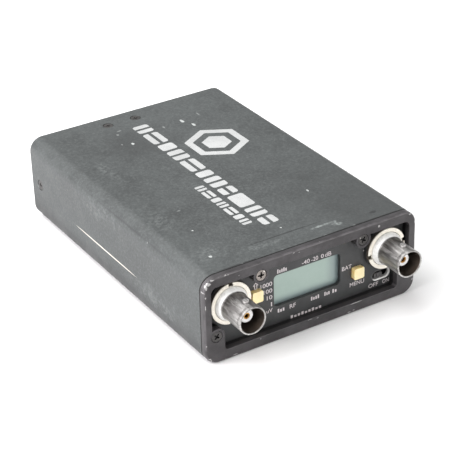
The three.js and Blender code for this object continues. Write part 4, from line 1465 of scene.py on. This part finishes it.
pad_low, pad_high = measure("door_pad")
foam, tree, place = new_finish("grey_foam")
bubbles = node(tree, "TexVoronoi", {"Vector": place, "Scale": 2400.0}).outputs["Distance"]
skin = use(tree, grain, Place=place, Grain_Scale=1400.0, Cloud_Scale=120.0)
tone = over(tree, skin["Cloud"], (0.055, 0.056, 0.058, 1), (0.085, 0.086, 0.088, 1))
tone = over(tree, ramp(tree, bubbles, 0.15, 0.45, 0.5, 0.0), tone, (0.02, 0.02, 0.021, 1))
foam_roughness = ramp(tree, bubbles, 0.1, 0.5, 1.0, 0.85)
wire(tree, Base_Color=tone, Roughness=foam_roughness, Normal=bump(tree, bubbles, 0.12))
pad = block("pad", pad_low, pad_high)
choose(pad, "FACE", lambda middle, normal: normal.y < -0.99)
bpy.ops.mesh.inset(thickness=1.2 * mm)
bpy.ops.mesh.subdivide(number_cuts=6)
bpy.ops.object.mode_set(mode="OBJECT")
soften(pad, 0.2, 3)
fit(pad, "battery_hatch", foam, "grey_foam", "door_pad")

# ---- Thumbscrew ----
# A nickel-plated screw that holds the door shut, fluted round its head for the fingers and slotted across
# for a coin.

head_y = 60.6
knob_face_y = door_screw_high.y
knob = turned(
    "knob",
    [
        (0.001, door_screw_low.y),
        (0.8, door_screw_low.y),
        (1.1, door_screw_low.y + 0.3),
        (1.1, head_y),
        (2.9, head_y),
        (3.2, head_y + 0.2),
        (3.2, knob_face_y - 0.35),
        (2.85, knob_face_y),
        (0.001, knob_face_y),
    ],
    96,
)
for i in range(24):
    angle = math.radians(15 * i)
    x, z = 3.25 * math.cos(angle), 3.25 * math.sin(angle)
    cut(knob, rod("flute", (x, head_y - 0.5, z), (x, knob_face_y + 1, z), 0.26, 12))
cut(knob, block("knob_slot", (-4, knob_face_y - 0.9, -0.4), (4, knob_face_y + 1, 0.4)))
soften(knob, 0.06)
put(knob, Matrix.Translation((knob_x, 0, knob_z)))
fit(knob, "hatch_screw", nickel, "nickel", "door_thumbscrew")

# ---- Batteries and their tray ----
# Two nine-volt blocks stand on edge in a black moulded tray. Each has a folded metal jacket, dark with a
# copper band and a grey end, and its snap terminals meet a contact board at the front of the tray.

tray_plastic = moulded("tray_plastic", (0.012, 0.012, 0.013), (0.026, 0.026, 0.027), 0.55, 0.02)
refinish(tray_plastic, "battery_tray")
jacket, tree, place = new_finish("battery_wrap")
skin = use(tree, grain, Place=place, Grain_Scale=2600.0, Cloud_Scale=110.0)
along_y = node(tree, "SeparateXYZ", {0: place}).outputs[1]
band = ramp(tree, along_y, 42.0 * mm, 42.3 * mm)
line = sum_of(tree, "COMPARE", along_y, 40.6 * mm, 0.5 * mm)
tone = over(tree, skin["Cloud"], (0.035, 0.036, 0.038, 1), (0.055, 0.056, 0.058, 1))
tone = over(tree, band, tone, (0.40, 0.20, 0.08, 1))
tone = over(tree, line, tone, (0.60, 0.60, 0.60, 1))
battery_end = measure("battery_1")[1].y
facing = node(tree, "SeparateXYZ", {0: node(tree, "NewGeometry").outputs["True Normal"]}).outputs[1]
below_rim = ramp(tree, along_y, (battery_end - 0.1) * mm, (battery_end - 0.2) * mm)
end_plate = sum_of(tree, "MULTIPLY", ramp(tree, facing, 0.9, 0.96), below_rim)
tone = over(tree, end_plate, tone, (0.30, 0.29, 0.28, 1))
wire(
    tree,
    Base_Color=tone,
    Metallic=sum_of(tree, "MULTIPLY_ADD", band, 0.5, 0.3),
    Roughness=ramp(tree, skin["Speckle"], 0.0, 1.0, 0.28, 0.38),
    Normal=bump(tree, skin["Height"], 0.008),
)
for name in ("battery_1", "battery_2"):
    low, high = measure(name)
    middle = (low + high) / 2
    cell = block(name + "_cell", (low.x, low.y + 2.5, low.z), high)
    round_edges(cell, 2.4, 8, lengthwise)
    choose(cell, "FACE", lambda middle, normal: abs(normal.y) > 0.99)
    bpy.ops.mesh.inset(thickness=0.6 * mm)
    jacket_middle = middle * mm + Vector((0, 1.25 * mm, 0))
    bpy.ops.transform.resize(value=(1, 1 - 0.5 / 45.5, 1), center_override=jacket_middle)
    bpy.ops.object.mode_set(mode="OBJECT")
    for shift, radius, sides in ((-6.35, 2.9, 32), (6.35, 3.8, 6)):
        z = middle.z + shift
        weld(cell, rod("terminal", (middle.x, low.y, z), (middle.x, low.y + 3.4, z), radius, sides))
    soften(cell, 0.2, 3)
    fit(cell, "receiver_case", jacket, "battery_wrap", name)

# ---- Boards, shields and switches ----
# Green circuit boards with tinned tracks and pads, folded tin-plate cans over the radio's tuned stages, and
# the power switch's tin-plate case, its front painted black as painted shade behind the slot. Their shapes
# stay as the CAD model has them.

board, tree, place = new_finish("circuit_board")
skin = use(tree, grain, Place=place, Grain_Scale=2400.0, Cloud_Scale=160.0)
tracks = node(
    tree,
    "TexBrick",
    {"Vector": place, "Scale": 260.0, "Mortar Size": 0.035, "Brick Width": 0.9, "Row Height": 0.35},
).outputs["Fac"]
pads = node(tree, "TexVoronoi", {"Vector": place, "Scale": 420.0, "Randomness": 0.35}).outputs["Distance"]
pad_mask = ramp(tree, pads, 0.24, 0.20)
tone = over(tree, skin["Cloud"], (0.012, 0.085, 0.035, 1), (0.02, 0.12, 0.05, 1))
tone = over(tree, sum_of(tree, "MULTIPLY", tracks, 0.6), tone, (0.05, 0.20, 0.09, 1))
tone = over(tree, pad_mask, tone, (0.62, 0.60, 0.55, 1))
wire(
    tree,
    Base_Color=tone,
    Metallic=sum_of(tree, "MULTIPLY", pad_mask, 0.8),
    Roughness=ramp(tree, skin["Speckle"], 0.0, 1.0, 0.34, 0.46),
    Normal=bump(tree, either(tree, pad_mask, tracks), 0.03),
)
refinish(board, "control_board", "radio_board", "battery_contacts")
tinned = ((0.48, 0.48, 0.47), (0.66, 0.66, 0.65), 0.36, 1.0, 0.35, (0.22, 0.21, 0.19))
tin = plated("tin_plate", *tinned)[0]
refinish(tin, "tuner_shield_left", "tuner_shield_right", "audio_shield")
switch_tin, tree, place, tone = plated("switch_tin", *tinned)
along_y = node(tree, "SeparateXYZ", {0: place}).outputs[1]
# The front of the switch case is painted black, painted shade where it shows through the slot.
switch_front_shade = ramp(tree, along_y, (panel_back_y + 1.7) * mm, (panel_back_y + 1.6) * mm)
wire(
    tree,
    Base_Color=over(tree, switch_front_shade, tone, (0.012, 0.012, 0.012, 1)),
    Metallic=sum_of(tree, "SUBTRACT", 1.0, switch_front_shade),
)
refinish(switch_tin, "power_switch")
